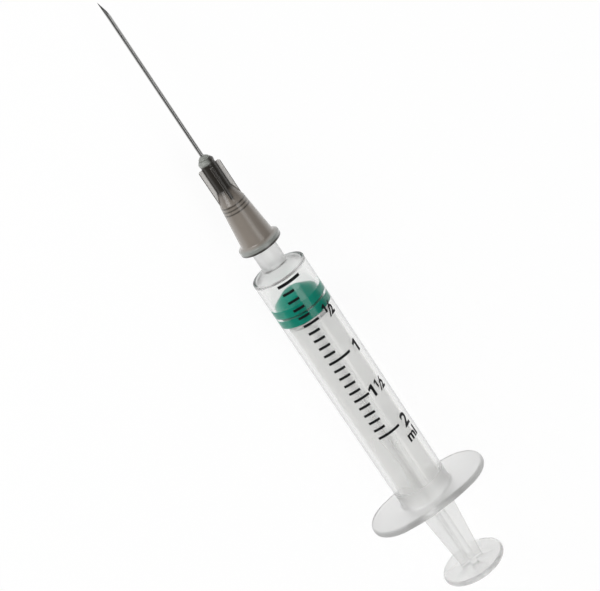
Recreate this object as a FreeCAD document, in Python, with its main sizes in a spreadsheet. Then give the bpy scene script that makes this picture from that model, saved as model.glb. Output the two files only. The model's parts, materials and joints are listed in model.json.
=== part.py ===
"""A two-millilitre slip-tip syringe with a bevelled needle, lying on its side.

Millimetres. The common axis runs along X: the needle points to -X and the thumb pad to +X.
The long way of the finger flange lies along Y, and the flange rests on Z = 0.
Every axial place is measured from the zero line of the scale, toward the thumb pad.
"""
import FreeCAD, Part
import math
import os

import Sketcher
from FreeCAD import Vector

DIMENSIONS = {
    # Barrel tube and shoulder
    "bore_radius": 4.325,
    "barrel_wall": 0.8,
    "barrel_length": 51.5,
    "shoulder_corner": 1.2,
    "shoulder_length": 0.95,
    "shoulder_edge_length": 0.5,
    "shoulder_edge_depth": 0.25,
    # Nozzle: a collar, then the 6 % cone that the needle hub sits on
    "neck_length": 4.45,
    "collar_radius": 2.35,
    "collar_gap": 0.5,
    "nozzle_tip_radius": 1.965,
    "nozzle_bore_radius": 1.05,
    "cone_slope": 0.03,
    "seat_length": 6.4,
    # Finger flange and the bead that keeps the plunger in
    "flange_length": 24.0,
    "flange_width": 14.5,
    "flange_end_radius": 6.5,
    "flange_crown": 0.12,
    "flange_thickness": 1.3,
    "flange_edge_bevel": 0.3,
    "flange_root_bevel": 0.4,
    "bead_height": 0.2,
    "bead_width": 0.8,
    "bead_inset": 2.6,
    # Scale: one line for each 100 cubic millimetres
    "line_volume": 100.0,
    "line_count": 20,
    "line_width": 0.5,
    "zero_line_width": 0.6,
    "ink_thickness": 0.06,
    "scale_start_angle": 26.6,
    "short_line_angle": 24.7,
    "half_line_angle": 34.5,
    "whole_line_angle": 50.2,
    # Rubber stopper
    "drawn_volume": 308.0,
    "stopper_gap": 0.03,
    "nose_radius": 2.3,
    "nose_height": 1.55,
    "ring_width": 1.2,
    "ring_pitch": 2.45,
    "ring_flank": 0.3,
    "waist_depth": 0.75,
    "socket_mouth_radius": 1.9,
    "socket_radius": 2.5,
    "socket_lip": 1.0,
    "socket_depth": 3.4,
    # Plunger rod
    "head_gap": 0.05,
    "head_tip_radius": 1.3,
    "disc_radius": 3.9,
    "disc_thickness": 1.0,
    "rod_length": 59.0,
    "rib_half_width": 3.4,
    "rib_end_half_width": 2.2,
    "rib_taper_length": 13.5,
    "rib_thickness": 1.2,
    "pad_radius": 6.2,
    "pad_thickness": 1.1,
    "pad_bevel": 0.3,
    # Needle hub
    "hub_gap": 0.02,
    "hub_length": 18.2,
    "rim_radius": 3.95,
    "rim_thickness": 1.0,
    "rim_flare": 0.4,
    "skirt_rear_radius": 3.18,
    "skirt_front_radius": 2.34,
    "skirt_length": 9.4,
    "core_radius": 1.36,
    "core_cone_length": 2.8,
    "tip_bulge_radius": 1.5,
    "tip_nose_length": 0.5,
    "tip_length": 1.0,
    "tip_face_radius": 1.15,
    "fin_count": 4,
    "fin_reach": 2.18,
    "fin_thickness": 0.6,
    "fin_setback": 1.4,
    "socket_relief": 1.0,
    "step_length": 0.55,
    "step_depth": 0.16,
    "funnel_length": 1.9,
    # Cannula and the glue that holds it
    "cannula_radius": 0.35,
    "cannula_bore_radius": 0.205,
    "cannula_reach": 31.8,
    "cannula_tail": 7.8,
    "cannula_gap": 0.01,
    "bevel_length": 3.3,
    "lancet_length": 2.3,
    "lancet_turn": 38.0,
    "bevel_turn": 30.0,
    "glue_well_depth": 1.8,
    "glue_well_radius": 0.72,
    "glue_bead_radius": 1.1,
    "glue_rise": 0.65,
    "glue_top_radius": 0.5,
}

# Rings that step the end of the hub's socket down
STEP_COUNT = 3
# Two places closer than this are the same place
SAME_PLACE = 1e-4

# Places and sizes that follow from the driving dimensions
BARREL_RADIUS = "(dims.bore_radius + dims.barrel_wall)"
SHOULDER_ROOT = "(-dims.shoulder_corner - dims.shoulder_length)"
HUB_REAR = f"({SHOULDER_ROOT} - dims.neck_length)"
NOZZLE_TIP = f"({HUB_REAR} - dims.seat_length)"
BORE_FRONT = "(dims.barrel_wall - dims.shoulder_corner)"
LINE_PITCH = "(dims.line_volume / (pi * dims.bore_radius ^ 2))"
FRONT_RING = "(dims.drawn_volume / (pi * dims.bore_radius ^ 2))"
REAR_RING = f"({FRONT_RING} + dims.ring_pitch)"
RING_RADIUS = "(dims.bore_radius - dims.stopper_gap)"
STOPPER_NOSE = f"({FRONT_RING} - dims.ring_width / 2 - dims.nose_height)"
STOPPER_REAR = f"({REAR_RING} + dims.ring_width / 2)"
SOCKET_END = f"({STOPPER_REAR} - dims.socket_depth)"
DISC_FRONT = f"({STOPPER_REAR} + dims.head_gap)"
PAD_FRONT = f"({DISC_FRONT} + dims.rod_length)"
PAD_REAR = f"({PAD_FRONT} + dims.pad_thickness)"
HUB_FRONT = f"({HUB_REAR} - dims.hub_length)"
CANNULA_TIP = f"({HUB_FRONT} - dims.cannula_reach)"
AXIS_HEIGHT = "(dims.flange_width / 2)"
MIDDLE = f"(({PAD_REAR} + {CANNULA_TIP}) / 2)"

doc = FreeCAD.newDocument("syringe")
sheet = doc.addObject("Spreadsheet::Sheet", "dims")
sheet.Label = "driving dimensions"
for row, (alias, size) in enumerate(DIMENSIONS.items(), start=1):
    sheet.set(f"A{row}", alias)
    sheet.set(f"B{row}", str(size))
    sheet.setAlias(f"B{row}", alias)
doc.recompute()


def new_body(name):
    """A sub-part whose axis is the common axis, with the part's middle at X = 0."""
    body = doc.addObject("PartDesign::Body", name)
    body.Label = name
    body.AllowCompound = True
    body.setExpression("Placement.Base.x", f"-{MIDDLE}")
    body.setExpression("Placement.Base.z", AXIS_HEIGHT)
    return body


def origin_part(body, role):
    """An axis or plane of the body's own origin."""
    return next(item for item in body.Origin.OriginFeatures if item.Role == role)


def new_sketch(body, name, plane="XZ_Plane"):
    sketch = body.newObject("Sketcher::SketchObject", name)
    sketch.AttachmentSupport = [(origin_part(body, plane), "")]
    sketch.MapMode = "FlatFace"
    return sketch


def bind(sketch, size, kind, *target):
    """A dimension of the sketch that reads its size from the sheet."""
    index = sketch.addConstraint(Sketcher.Constraint(kind, *target))
    sketch.setExpression(f"Constraints[{index}]", size)


def outline(body, name, corners, plane="XZ_Plane"):
    """A closed outline of straight sides, each corner given as its place along and off the axis."""
    sketch = new_sketch(body, name, plane)
    count = len(corners)
    ring = [Vector(math.cos(2 * math.pi * step / count), math.sin(2 * math.pi * step / count), 0)
            for step in range(count)]
    for step in range(count):
        sketch.addGeometry(Part.LineSegment(ring[step], ring[(step + 1) % count]), False)
    for step, (along, off) in enumerate(corners):
        sketch.addConstraint(Sketcher.Constraint("Coincident", step, 2, (step + 1) % count, 1))
        bind(sketch, along, "DistanceX", step, 1, ring[step].x)
        bind(sketch, off, "DistanceY", step, 1, ring[step].y)
    return sketch


def turned(body, name, corners, kind="Revolution", angle="360"):
    """A solid of revolution about the axis, added to the body or, as a Groove, cut from it."""
    sketch = outline(body, f"{name}_outline", corners)
    feature = body.newObject(f"PartDesign::{kind}", name)
    feature.Profile = sketch
    feature.ReferenceAxis = (sketch, ["H_Axis"])
    feature.setExpression("Angle", angle)
    doc.recompute()
    return feature


def padded(body, name, sketch, thickness, both_ways=True):
    """The sketch pushed out to a thickness, to both sides of its plane or to one."""
    feature = body.newObject("PartDesign::Pad", name)
    feature.Profile = sketch
    feature.Midplane = both_ways
    feature.setExpression("Length", thickness)
    doc.recompute()
    return feature


def bevelled(body, name, size, wanted):
    """A chamfer on each edge of the body so far that the test picks."""
    base = body.Tip
    picked = [f"Edge{number}" for number, edge in enumerate(base.Shape.Edges, start=1) if wanted(edge)]
    feature = body.newObject("PartDesign::Chamfer", name)
    feature.Base = (base, picked)
    feature.setExpression("Size", size)
    doc.recompute()
    return feature


def circle_at(radius, along):
    """A test for a full circle about the axis with this radius and place."""
    def wanted(edge):
        if not isinstance(edge.Curve, Part.Circle):
            return False
        same_radius = abs(edge.Curve.Radius - radius) < SAME_PLACE
        return same_radius and abs(edge.Curve.Center.x - along) < SAME_PLACE
    return wanted


def flange_rim(flange_front):
    """A test for the edges round the flange's outline, on its front and its rear face."""
    def wanted(edge):
        box = edge.BoundBox
        reach = max(box.YMax, box.ZMax, -box.YMin, -box.ZMin)
        across = box.XLength < SAME_PLACE and box.XMin > flange_front - SAME_PLACE
        return across and reach > sheet.flange_width / 2 - SAME_PLACE
    return wanted


def flange_outline(body):
    """The finger flange seen along the axis: two long side arcs tangent to two end arcs."""
    sketch = new_sketch(body, "flange_outline", "YZ_Plane")
    sketch.setExpression("AttachmentOffset.Base.z", "dims.barrel_length - dims.flange_thickness")
    reach = sheet.flange_length / 2 - sheet.flange_end_radius
    half_width = sheet.flange_width / 2 + sheet.flange_crown
    end = sheet.flange_end_radius
    side = (reach ** 2 + half_width ** 2 - end ** 2) / (2 * (half_width - end))
    meet = math.atan2(side - half_width, reach)
    facing = Vector(0, 0, 1)

    reach_size = "(dims.flange_length / 2 - dims.flange_end_radius)"
    crown_size = f"({AXIS_HEIGHT} + dims.flange_crown)"
    side_size = (f"({reach_size} ^ 2 + {crown_size} ^ 2 - dims.flange_end_radius ^ 2)"
                 f" / (2 * ({crown_size} - dims.flange_end_radius))")
    arcs = [
        (Vector(reach, 0, 0), end, -meet, meet, "dims.flange_end_radius"),
        (Vector(0, half_width - side, 0), side, meet, math.pi - meet, side_size),
        (Vector(-reach, 0, 0), end, math.pi - meet, math.pi + meet, "dims.flange_end_radius"),
        (Vector(0, side - half_width, 0), side, math.pi + meet, 2 * math.pi - meet, side_size),
    ]
    for centre, radius, first, last, size in arcs:
        sketch.addGeometry(Part.ArcOfCircle(Part.Circle(centre, facing, radius), first, last), False)
    for step in range(4):
        sketch.addConstraint(Sketcher.Constraint("Tangent", step, 2, (step + 1) % 4, 1))
    for step, (centre, radius, first, last, size) in enumerate(arcs):
        bind(sketch, size, "Radius", step, radius)
    bind(sketch, reach_size, "DistanceX", 0, 3, reach)
    bind(sketch, "0", "DistanceY", 0, 3, 0.0)
    bind(sketch, f"-{reach_size}", "DistanceX", 2, 3, -reach)
    bind(sketch, "0", "DistanceY", 2, 3, 0.0)
    return sketch


def flange_flat(body, name, sign):
    """The small flat that takes the crown off one long side of the flange, so that it doesn't rock."""
    front = "dims.barrel_length - dims.flange_thickness"
    flat = f"{sign}{AXIS_HEIGHT}"
    clear = f"{sign}({AXIS_HEIGHT} + 2 * dims.flange_crown)"
    sketch = outline(body, f"{name}_outline", [
        (front, flat),
        ("dims.barrel_length", flat),
        ("dims.barrel_length", clear),
        (front, clear),
    ])
    cut = body.newObject("PartDesign::Pocket", name)
    cut.Profile = sketch
    cut.Midplane = True
    cut.setExpression("Length", "dims.flange_length")
    doc.recompute()
    return cut


def barrel():
    """The clear tube with its shoulder, nozzle, finger flange and retaining bead."""
    body = new_body("barrel")
    taper = "dims.cone_slope * (dims.seat_length + dims.collar_gap)"
    half_edge = "dims.shoulder_edge_length / 2"
    turned(body, "barrel_outside", [
        (NOZZLE_TIP, "0"),
        (NOZZLE_TIP, "dims.nozzle_tip_radius"),
        (f"{HUB_REAR} + dims.collar_gap", f"dims.nozzle_tip_radius + {taper}"),
        (f"{HUB_REAR} + dims.collar_gap", "dims.collar_radius"),
        (SHOULDER_ROOT, "dims.collar_radius"),
        (f"-dims.shoulder_corner - {half_edge}", f"{BARREL_RADIUS} - dims.shoulder_edge_depth"),
        (f"-dims.shoulder_corner + {half_edge}", BARREL_RADIUS),
        ("dims.barrel_length", BARREL_RADIUS),
        ("dims.barrel_length", "0"),
    ])
    padded(body, "finger_flange", flange_outline(body), "dims.flange_thickness", both_ways=False)
    outer = sheet.bore_radius + sheet.barrel_wall
    flange_front = sheet.barrel_length - sheet.flange_thickness
    bevelled(body, "flange_root", "dims.flange_root_bevel", circle_at(outer, flange_front))
    bevelled(body, "flange_edge", "dims.flange_edge_bevel", flange_rim(flange_front))
    flange_flat(body, "upper_flat", "")
    flange_flat(body, "lower_flat", "-")
    bead_rear = "(dims.barrel_length - dims.bead_inset)"
    turned(body, "barrel_bore", [
        (NOZZLE_TIP, "0"),
        (NOZZLE_TIP, "dims.nozzle_bore_radius"),
        (SHOULDER_ROOT, "dims.nozzle_bore_radius"),
        (BORE_FRONT, "dims.bore_radius"),
        (f"{bead_rear} - dims.bead_width", "dims.bore_radius"),
        (f"{bead_rear} - dims.bead_width / 2", "dims.bore_radius - dims.bead_height"),
        (bead_rear, "dims.bore_radius"),
        ("dims.barrel_length", "dims.bore_radius"),
        ("dims.barrel_length", "0"),
    ], kind="Groove")
    return body


def ink_line(body, name, place, width, angle):
    """One line of the scale: a thin band on the tube, from the scale's start round by an angle."""
    half = f"{width} / 2"
    line = turned(body, name, [
        (f"{place} - {half}", BARREL_RADIUS),
        (f"{place} - {half}", f"{BARREL_RADIUS} + dims.ink_thickness"),
        (f"{place} + {half}", f"{BARREL_RADIUS} + dims.ink_thickness"),
        (f"{place} + {half}", BARREL_RADIUS),
    ], angle=angle)
    line.Reversed = True
    return line


def repeated_line(body, name, line, spacing, count):
    """The line again and again along the tube."""
    pattern = body.newObject("PartDesign::LinearPattern", name)
    pattern.Originals = [line]
    pattern.Direction = (origin_part(body, "X_Axis"), [""])
    pattern.Mode = "Spacing"
    pattern.setExpression("Offset", spacing)
    pattern.setExpression("Occurrences", count)
    body.Tip = pattern
    doc.recompute()
    return pattern


def graduation_marks():
    """The scale: an ink line on the tube for each tenth, longer at each half and whole."""
    body = new_body("graduation_marks")
    body.Placement.Rotation = FreeCAD.Rotation(Vector(1, 0, 0), 1)
    body.setExpression("Placement.Rotation.Angle", "dims.scale_start_angle")
    width = "dims.line_width"
    tenth = ink_line(body, "tenth_line", LINE_PITCH, width, "dims.short_line_angle")
    repeated_line(body, "tenth_lines", tenth, LINE_PITCH, "dims.line_count")
    half = ink_line(body, "half_line", f"5 * {LINE_PITCH}", width, "dims.half_line_angle")
    repeated_line(body, "half_lines", half, f"10 * {LINE_PITCH}", "dims.line_count / 10")
    whole = ink_line(body, "whole_line", f"10 * {LINE_PITCH}", width, "dims.whole_line_angle")
    repeated_line(body, "whole_lines", whole, f"10 * {LINE_PITCH}", "dims.line_count / 10")
    ink_line(body, "zero_line", "0", "dims.zero_line_width", "dims.whole_line_angle")
    return body


def stopper():
    """The rubber stopper: a blunt nose, two sealing rings and a socket for the rod's head."""
    body = new_body("stopper")
    waist = f"{RING_RADIUS} - dims.waist_depth"
    turned(body, "stopper_outside", [
        (STOPPER_NOSE, "0"),
        (STOPPER_NOSE, "dims.nose_radius"),
        (f"{FRONT_RING} - dims.ring_width / 2", waist),
        (f"{FRONT_RING} - dims.ring_width / 2 + dims.ring_flank", RING_RADIUS),
        (f"{FRONT_RING} + dims.ring_width / 2", RING_RADIUS),
        (f"{FRONT_RING} + dims.ring_width / 2", waist),
        (f"{REAR_RING} - dims.ring_width / 2", waist),
        (f"{REAR_RING} - dims.ring_width / 2", RING_RADIUS),
        (f"{STOPPER_REAR} - dims.ring_flank", RING_RADIUS),
        (STOPPER_REAR, waist),
        (STOPPER_REAR, "0"),
    ])
    turned(body, "head_socket", [
        (SOCKET_END, "0"),
        (SOCKET_END, "dims.head_tip_radius + dims.head_gap"),
        (f"{STOPPER_REAR} - dims.socket_lip - dims.head_gap", "dims.socket_radius"),
        (f"{STOPPER_REAR} - dims.socket_lip", "dims.socket_radius"),
        (f"{STOPPER_REAR} - dims.socket_lip", "dims.socket_mouth_radius"),
        (STOPPER_REAR, "dims.socket_mouth_radius"),
        (STOPPER_REAR, "0"),
    ], kind="Groove")
    return body


def plunger_rod():
    """The clear rod: a barbed head in the stopper, a disc, four tapering ribs and a thumb pad."""
    body = new_body("plunger_rod")
    barb = f"{STOPPER_REAR} - dims.socket_lip - dims.head_gap"
    neck = "dims.socket_mouth_radius - dims.head_gap"
    turned(body, "head_and_disc", [
        (f"{SOCKET_END} + dims.head_gap", "0"),
        (f"{SOCKET_END} + dims.head_gap", "dims.head_tip_radius"),
        (barb, "dims.socket_radius - dims.head_gap"),
        (barb, neck),
        (DISC_FRONT, neck),
        (DISC_FRONT, "dims.disc_radius"),
        (f"{DISC_FRONT} + dims.disc_thickness", "dims.disc_radius"),
        (f"{DISC_FRONT} + dims.disc_thickness", "0"),
    ])
    for name, plane in (("upright_rib", "XZ_Plane"), ("level_rib", "XY_Plane")):
        side = outline(body, f"{name}_outline", [
            (f"{DISC_FRONT} + dims.disc_thickness / 2", "-dims.rib_half_width"),
            (f"{DISC_FRONT} + dims.disc_thickness / 2", "dims.rib_half_width"),
            (f"{PAD_FRONT} - dims.rib_taper_length", "dims.rib_half_width"),
            (f"{PAD_FRONT} + dims.pad_thickness / 2", "dims.rib_end_half_width"),
            (f"{PAD_FRONT} + dims.pad_thickness / 2", "-dims.rib_end_half_width"),
            (f"{PAD_FRONT} - dims.rib_taper_length", "-dims.rib_half_width"),
        ], plane)
        padded(body, name, side, "dims.rib_thickness")
    turned(body, "thumb_pad", [
        (PAD_FRONT, "0"),
        (PAD_FRONT, "dims.pad_radius"),
        (f"{PAD_REAR} - dims.pad_bevel", "dims.pad_radius"),
        (PAD_REAR, "dims.pad_radius - dims.pad_bevel"),
        (PAD_REAR, "0"),
    ])
    return body


def needle_hub():
    """The smoke-tinted hub: a rimmed skirt over the nozzle, a slim finned core and a blunt tip."""
    body = new_body("needle_hub")
    skirt_front = f"{HUB_REAR} - dims.skirt_length"
    turned(body, "hub_outside", [
        (HUB_FRONT, "0"),
        (HUB_FRONT, "dims.tip_face_radius"),
        (f"{HUB_FRONT} + dims.tip_nose_length", "dims.tip_bulge_radius"),
        (f"{HUB_FRONT} + dims.tip_length", "dims.core_radius"),
        (f"{skirt_front} - dims.core_cone_length", "dims.core_radius"),
        (skirt_front, "dims.skirt_front_radius"),
        (f"{HUB_REAR} - dims.rim_thickness - dims.rim_flare", "dims.skirt_rear_radius"),
        (f"{HUB_REAR} - dims.rim_thickness", "dims.rim_radius"),
        (HUB_REAR, "dims.rim_radius"),
        (HUB_REAR, "0"),
    ])
    fin_outline = outline(body, "fin_outline", [
        (f"{HUB_FRONT} + dims.fin_setback", "dims.core_radius / 2"),
        (f"{HUB_FRONT} + dims.fin_setback", "dims.fin_reach"),
        (skirt_front, "dims.fin_reach"),
        (skirt_front, "dims.core_radius / 2"),
    ])
    fin = padded(body, "fin", fin_outline, "dims.fin_thickness")
    fins = body.newObject("PartDesign::PolarPattern", "fins")
    fins.Originals = [fin]
    fins.Axis = (origin_part(body, "X_Axis"), [""])
    fins.setExpression("Occurrences", "dims.fin_count")
    body.Tip = fins
    doc.recompute()

    floor = f"{NOZZLE_TIP} - dims.socket_relief"
    floor_radius = "dims.nozzle_tip_radius - dims.cone_slope * dims.socket_relief + dims.hub_gap"
    hole = "dims.cannula_radius + dims.cannula_gap"
    socket = [
        (HUB_REAR, "0"),
        (HUB_REAR, "dims.nozzle_tip_radius + dims.cone_slope * dims.seat_length + dims.hub_gap"),
        (floor, floor_radius),
    ]
    for step in range(1, STEP_COUNT + 1):
        radius = f"{floor_radius} - {step} * dims.step_depth"
        socket.append((f"{floor} - {step - 1} * dims.step_length", radius))
        socket.append((f"{floor} - {step} * dims.step_length", radius))
    socket += [
        (f"{floor} - {STEP_COUNT} * dims.step_length - dims.funnel_length", hole),
        (f"{HUB_FRONT} + dims.glue_well_depth", hole),
        (f"{HUB_FRONT} + dims.glue_well_depth", "dims.glue_well_radius"),
        (HUB_FRONT, "dims.glue_well_radius"),
        (HUB_FRONT, "0"),
    ]
    turned(body, "luer_socket", socket, kind="Groove")
    return body


def slanting_cut(body, name, start, length, turn_side=0):
    """One ground facet of the point: everything above a plane that climbs across the tube."""
    sketch = outline(body, f"{name}_outline", [
        (CANNULA_TIP, start),
        (f"{CANNULA_TIP} + {length}", "dims.cannula_radius"),
        (f"{CANNULA_TIP} + {length}", "2 * dims.cannula_radius"),
        (f"{CANNULA_TIP} - dims.cannula_radius", "2 * dims.cannula_radius"),
        (f"{CANNULA_TIP} - dims.cannula_radius", start),
    ], "XY_Plane")
    if turn_side:
        sketch.AttachmentOffset = FreeCAD.Placement(
            Vector(), FreeCAD.Rotation(Vector(turn_side, 0, 0), 1))
        sketch.setExpression("AttachmentOffset.Rotation.Angle", "dims.lancet_turn")
    cut = body.newObject("PartDesign::Pocket", name)
    cut.Profile = sketch
    cut.Midplane = True
    cut.setExpression("Length", "6 * dims.cannula_radius")
    doc.recompute()
    return cut


def needle_cannula():
    """The steel tube, ground at its tip to a long bevel with two steeper lancet facets."""
    body = new_body("needle_cannula")
    body.Placement.Rotation = FreeCAD.Rotation(Vector(1, 0, 0), 1)
    body.setExpression("Placement.Rotation.Angle", "dims.bevel_turn")
    tail = f"{HUB_FRONT} + dims.cannula_tail"
    turned(body, "tube", [
        (CANNULA_TIP, "dims.cannula_bore_radius"),
        (CANNULA_TIP, "dims.cannula_radius"),
        (tail, "dims.cannula_radius"),
        (tail, "dims.cannula_bore_radius"),
    ])
    slanting_cut(body, "bevel", "-dims.cannula_radius", "dims.bevel_length")
    start = "-dims.cannula_radius * cos(dims.lancet_turn)"
    slanting_cut(body, "near_lancet_facet", start, "dims.lancet_length", 1)
    slanting_cut(body, "far_lancet_facet", start, "dims.lancet_length", -1)
    return body


def needle_adhesive():
    """The glue in the hub's well, risen to a small bead round the cannula."""
    body = new_body("needle_adhesive")
    turned(body, "glue", [
        (f"{HUB_FRONT} + dims.glue_well_depth", "dims.cannula_radius"),
        (f"{HUB_FRONT} + dims.glue_well_depth", "dims.glue_well_radius"),
        (HUB_FRONT, "dims.glue_well_radius"),
        (HUB_FRONT, "dims.glue_bead_radius"),
        (f"{HUB_FRONT} - dims.glue_rise", "dims.glue_top_radius"),
        (f"{HUB_FRONT} - dims.glue_rise", "dims.cannula_radius"),
    ])
    return body


def check_model(bodies):
    """Stop if any object failed to build, or if a sub-part has no sound shape."""
    for item in doc.Objects:
        if "Invalid" in item.State or "Error" in item.State:
            raise RuntimeError(f"{item.Name} did not build: {item.State} {item.getStatusString()}")
    for body in bodies:
        if body.Shape.isNull() or not body.Shape.isValid() or not body.Shape.Solids:
            raise RuntimeError(f"{body.Label} has no sound shape")


parts = [barrel(), graduation_marks(), stopper(), plunger_rod(),
         needle_hub(), needle_cannula(), needle_adhesive()]
doc.recompute()
check_model(parts)
os.makedirs("parts", exist_ok=True)
for part in parts:
    part.Shape.exportStep(f"parts/{part.Label}.step")
    box = part.Shape.BoundBox
    print(f"{part.Label}: {len(part.Shape.Solids)} solid(s), {part.Shape.Volume:.3f} mm3, "
          f"x {box.XMin:.3f} to {box.XMax:.3f}, y {box.YMin:.3f} to {box.YMax:.3f}, "
          f"z {box.ZMin:.3f} to {box.ZMax:.3f}")
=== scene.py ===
"""The looks of a small slip-tip syringe with its needle, laid out as a Blender add-on.

Metres. The common axis runs along X at a height of AXIS: the needle points to -X, the thumb pad to +X.
"""
import json
import math
from functools import partial

import bmesh
import bpy
from bpy.props import FloatProperty, FloatVectorProperty, IntProperty, PointerProperty
from mathutils import Matrix, Vector

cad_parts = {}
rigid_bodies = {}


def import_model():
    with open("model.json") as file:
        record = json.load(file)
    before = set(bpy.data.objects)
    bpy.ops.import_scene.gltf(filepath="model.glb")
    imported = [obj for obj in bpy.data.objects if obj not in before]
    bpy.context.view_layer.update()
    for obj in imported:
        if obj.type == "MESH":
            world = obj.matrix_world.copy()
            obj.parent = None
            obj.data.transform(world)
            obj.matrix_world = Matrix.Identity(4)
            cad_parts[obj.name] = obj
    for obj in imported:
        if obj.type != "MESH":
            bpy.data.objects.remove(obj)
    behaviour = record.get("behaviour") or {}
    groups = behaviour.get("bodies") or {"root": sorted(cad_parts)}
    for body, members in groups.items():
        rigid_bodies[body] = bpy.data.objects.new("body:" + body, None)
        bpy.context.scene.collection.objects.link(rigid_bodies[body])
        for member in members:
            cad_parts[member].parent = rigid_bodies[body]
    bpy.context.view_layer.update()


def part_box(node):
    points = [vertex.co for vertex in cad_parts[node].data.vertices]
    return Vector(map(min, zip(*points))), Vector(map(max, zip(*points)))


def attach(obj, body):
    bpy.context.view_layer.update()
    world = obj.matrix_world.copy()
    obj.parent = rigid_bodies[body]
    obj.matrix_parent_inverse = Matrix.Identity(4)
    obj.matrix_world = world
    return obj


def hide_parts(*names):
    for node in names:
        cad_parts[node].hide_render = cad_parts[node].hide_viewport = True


bl_info = {
    "name": "Syringe with Needle",
    "version": (1, 0, 0),
    "blender": (4, 5, 0),
    "location": "3D View > Sidebar > Syringe",
    "description": "Builds a clear slip-tip syringe with its needle around a fixed frame",
    "category": "Add Mesh",
}

for leftover in list(bpy.data.objects):
    bpy.data.objects.remove(leftover)
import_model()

MM = 0.001
BARREL_LOW, BARREL_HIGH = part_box("barrel")
STOPPER_LOW, STOPPER_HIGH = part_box("stopper")
ROD_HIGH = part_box("plunger_rod")[1]
HUB_LOW, HUB_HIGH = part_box("needle_hub")
CANNULA_LOW, CANNULA_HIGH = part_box("needle_cannula")
GLUE_LOW, GLUE_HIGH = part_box("needle_adhesive")
AXIS = (HUB_LOW.z + HUB_HIGH.z) / 2

TUBE_SEGMENTS = 144
NEEDLE_SEGMENTS = 64
ARC_STEPS = 7
NUMERAL_STRIPS = 48
GLYPH_MIDDLE = 0.34
GLYPH_WEIGHT = 0.03
HOLD = 0.12 * MM
WELD = 1e-7
ZERO = BARREL_HIGH.x - 51.5 * MM
SHOULDER_FROST = 0.6 * MM
FLANGE_FROST = 4.2 * MM
GROUND_POINT = 3.5 * MM
PLASTIC_IOR = 1.49
FROST_ROUGHNESS = 0.26
RING_SHADE = 0.75
RIM_SHADE = 0.95
FLOOR_GLOW = 1.05
FLOOR_GLOW_SHARE = 0.86
HORIZON_THROUGH_PLASTIC = 0.92
FLOOR_HALF_SIZE = 3.0
WHITE = (1.0, 1.0, 1.0)
SHARP_ANGLE = math.radians(40)


def length(name, millimetres, description):
    """A size that a user may change."""
    return FloatProperty(name=name, default=millimetres * MM, unit="LENGTH", precision=5, description=description)


def angle(name, degrees, description):
    """An angle that a user may change."""
    return FloatProperty(name=name, default=math.radians(degrees), subtype="ANGLE", description=description)


def colour(name, values, description):
    """A colour that a user may change."""
    return FloatVectorProperty(name=name, default=values, subtype="COLOR", size=len(values), min=0.0, max=1.0,
                               description=description)


def amount(name, value, description):
    """A plain number from nought up that a user may change."""
    return FloatProperty(name=name, default=value, min=0.0, description=description)


def number(name, value, description, least=1):
    """A count that a user may change."""
    return IntProperty(name=name, default=value, min=least, description=description)


class SyringeBarrelSettings(bpy.types.PropertyGroup):
    """Sizes and colours of the barrel and its scale."""
    bore: length("Bore radius", 4.325, "Inside radius of the tube")
    wall: length("Wall", 0.8, "Wall of the tube")
    collar: length("Collar radius", 2.35, "Radius of the neck behind the needle's hub")
    collar_gap: length("Collar gap", 0.5, "Bare cone between the collar and the hub's rim")
    shoulder_length: length("Shoulder length", 2.15, "From the neck's root to the zero line")
    shoulder_corner: length("Shoulder corner", 1.2, "From the shoulder's corner to the zero line")
    neck_flare: length("Neck flare", 0.3, "Round between the neck and the shoulder")
    shoulder_round: length("Shoulder round", 0.35, "Round between the shoulder and the tube")
    nozzle_tip: length("Nozzle tip radius", 1.965, "Radius of the cone's small end")
    nozzle_bore: length("Nozzle bore radius", 1.05, "Inside radius of the nozzle")
    cone_slope: amount("Cone slope", 0.03, "Growth of the cone's radius along it")
    flange_thickness: length("Flange thickness", 1.3, "Thickness of the finger flange")
    flange_end: length("Flange end radius", 6.5, "Radius of the flange's two round ends")
    flange_crown: length("Flange crown", 0.12, "How far the flange's long sides would bulge without their flats")
    flange_round: length("Flange round", 0.45, "Round of the flange's edges")
    bead_height: length("Bead height", 0.2, "Height of the bead that holds the plunger in")
    bead_width: length("Bead width", 0.8, "Width of that bead")
    bead_inset: length("Bead inset", 2.6, "From the open end to the bead's rear")
    line_pitch: length("Line pitch", 1.70169, "From one line of the scale to the next")
    line_width: length("Line width", 0.5, "Width of a line")
    zero_width: length("Zero line width", 0.58, "Width of the zero line")
    ink_thickness: length("Ink thickness", 0.025, "Height of the ink on the tube")
    line_count: number("Lines", 21, "Lines of the scale", 2)
    line_start: angle("Line start", -26.6, "Where each line starts, round from the top")
    short_line: angle("Short line", 24.7, "Length of a tenth line round the tube")
    half_line: angle("Half line", 34.5, "Length of a half line round the tube")
    whole_line: angle("Whole line", 50.2, "Length of a whole line round the tube")
    plastic: colour("Plastic", (0.97, 0.97, 0.965), "Tint of the clear plastic")
    frosted: colour("Frosted plastic", (0.955, 0.955, 0.95), "Tint of the frosted nozzle, shoulder and flange")
    haze: amount("Haze", 60.0, "How strongly the clear plastic greys light")
    ink: colour("Ink", (0.004, 0.004, 0.005), "Colour of the ink")


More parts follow.
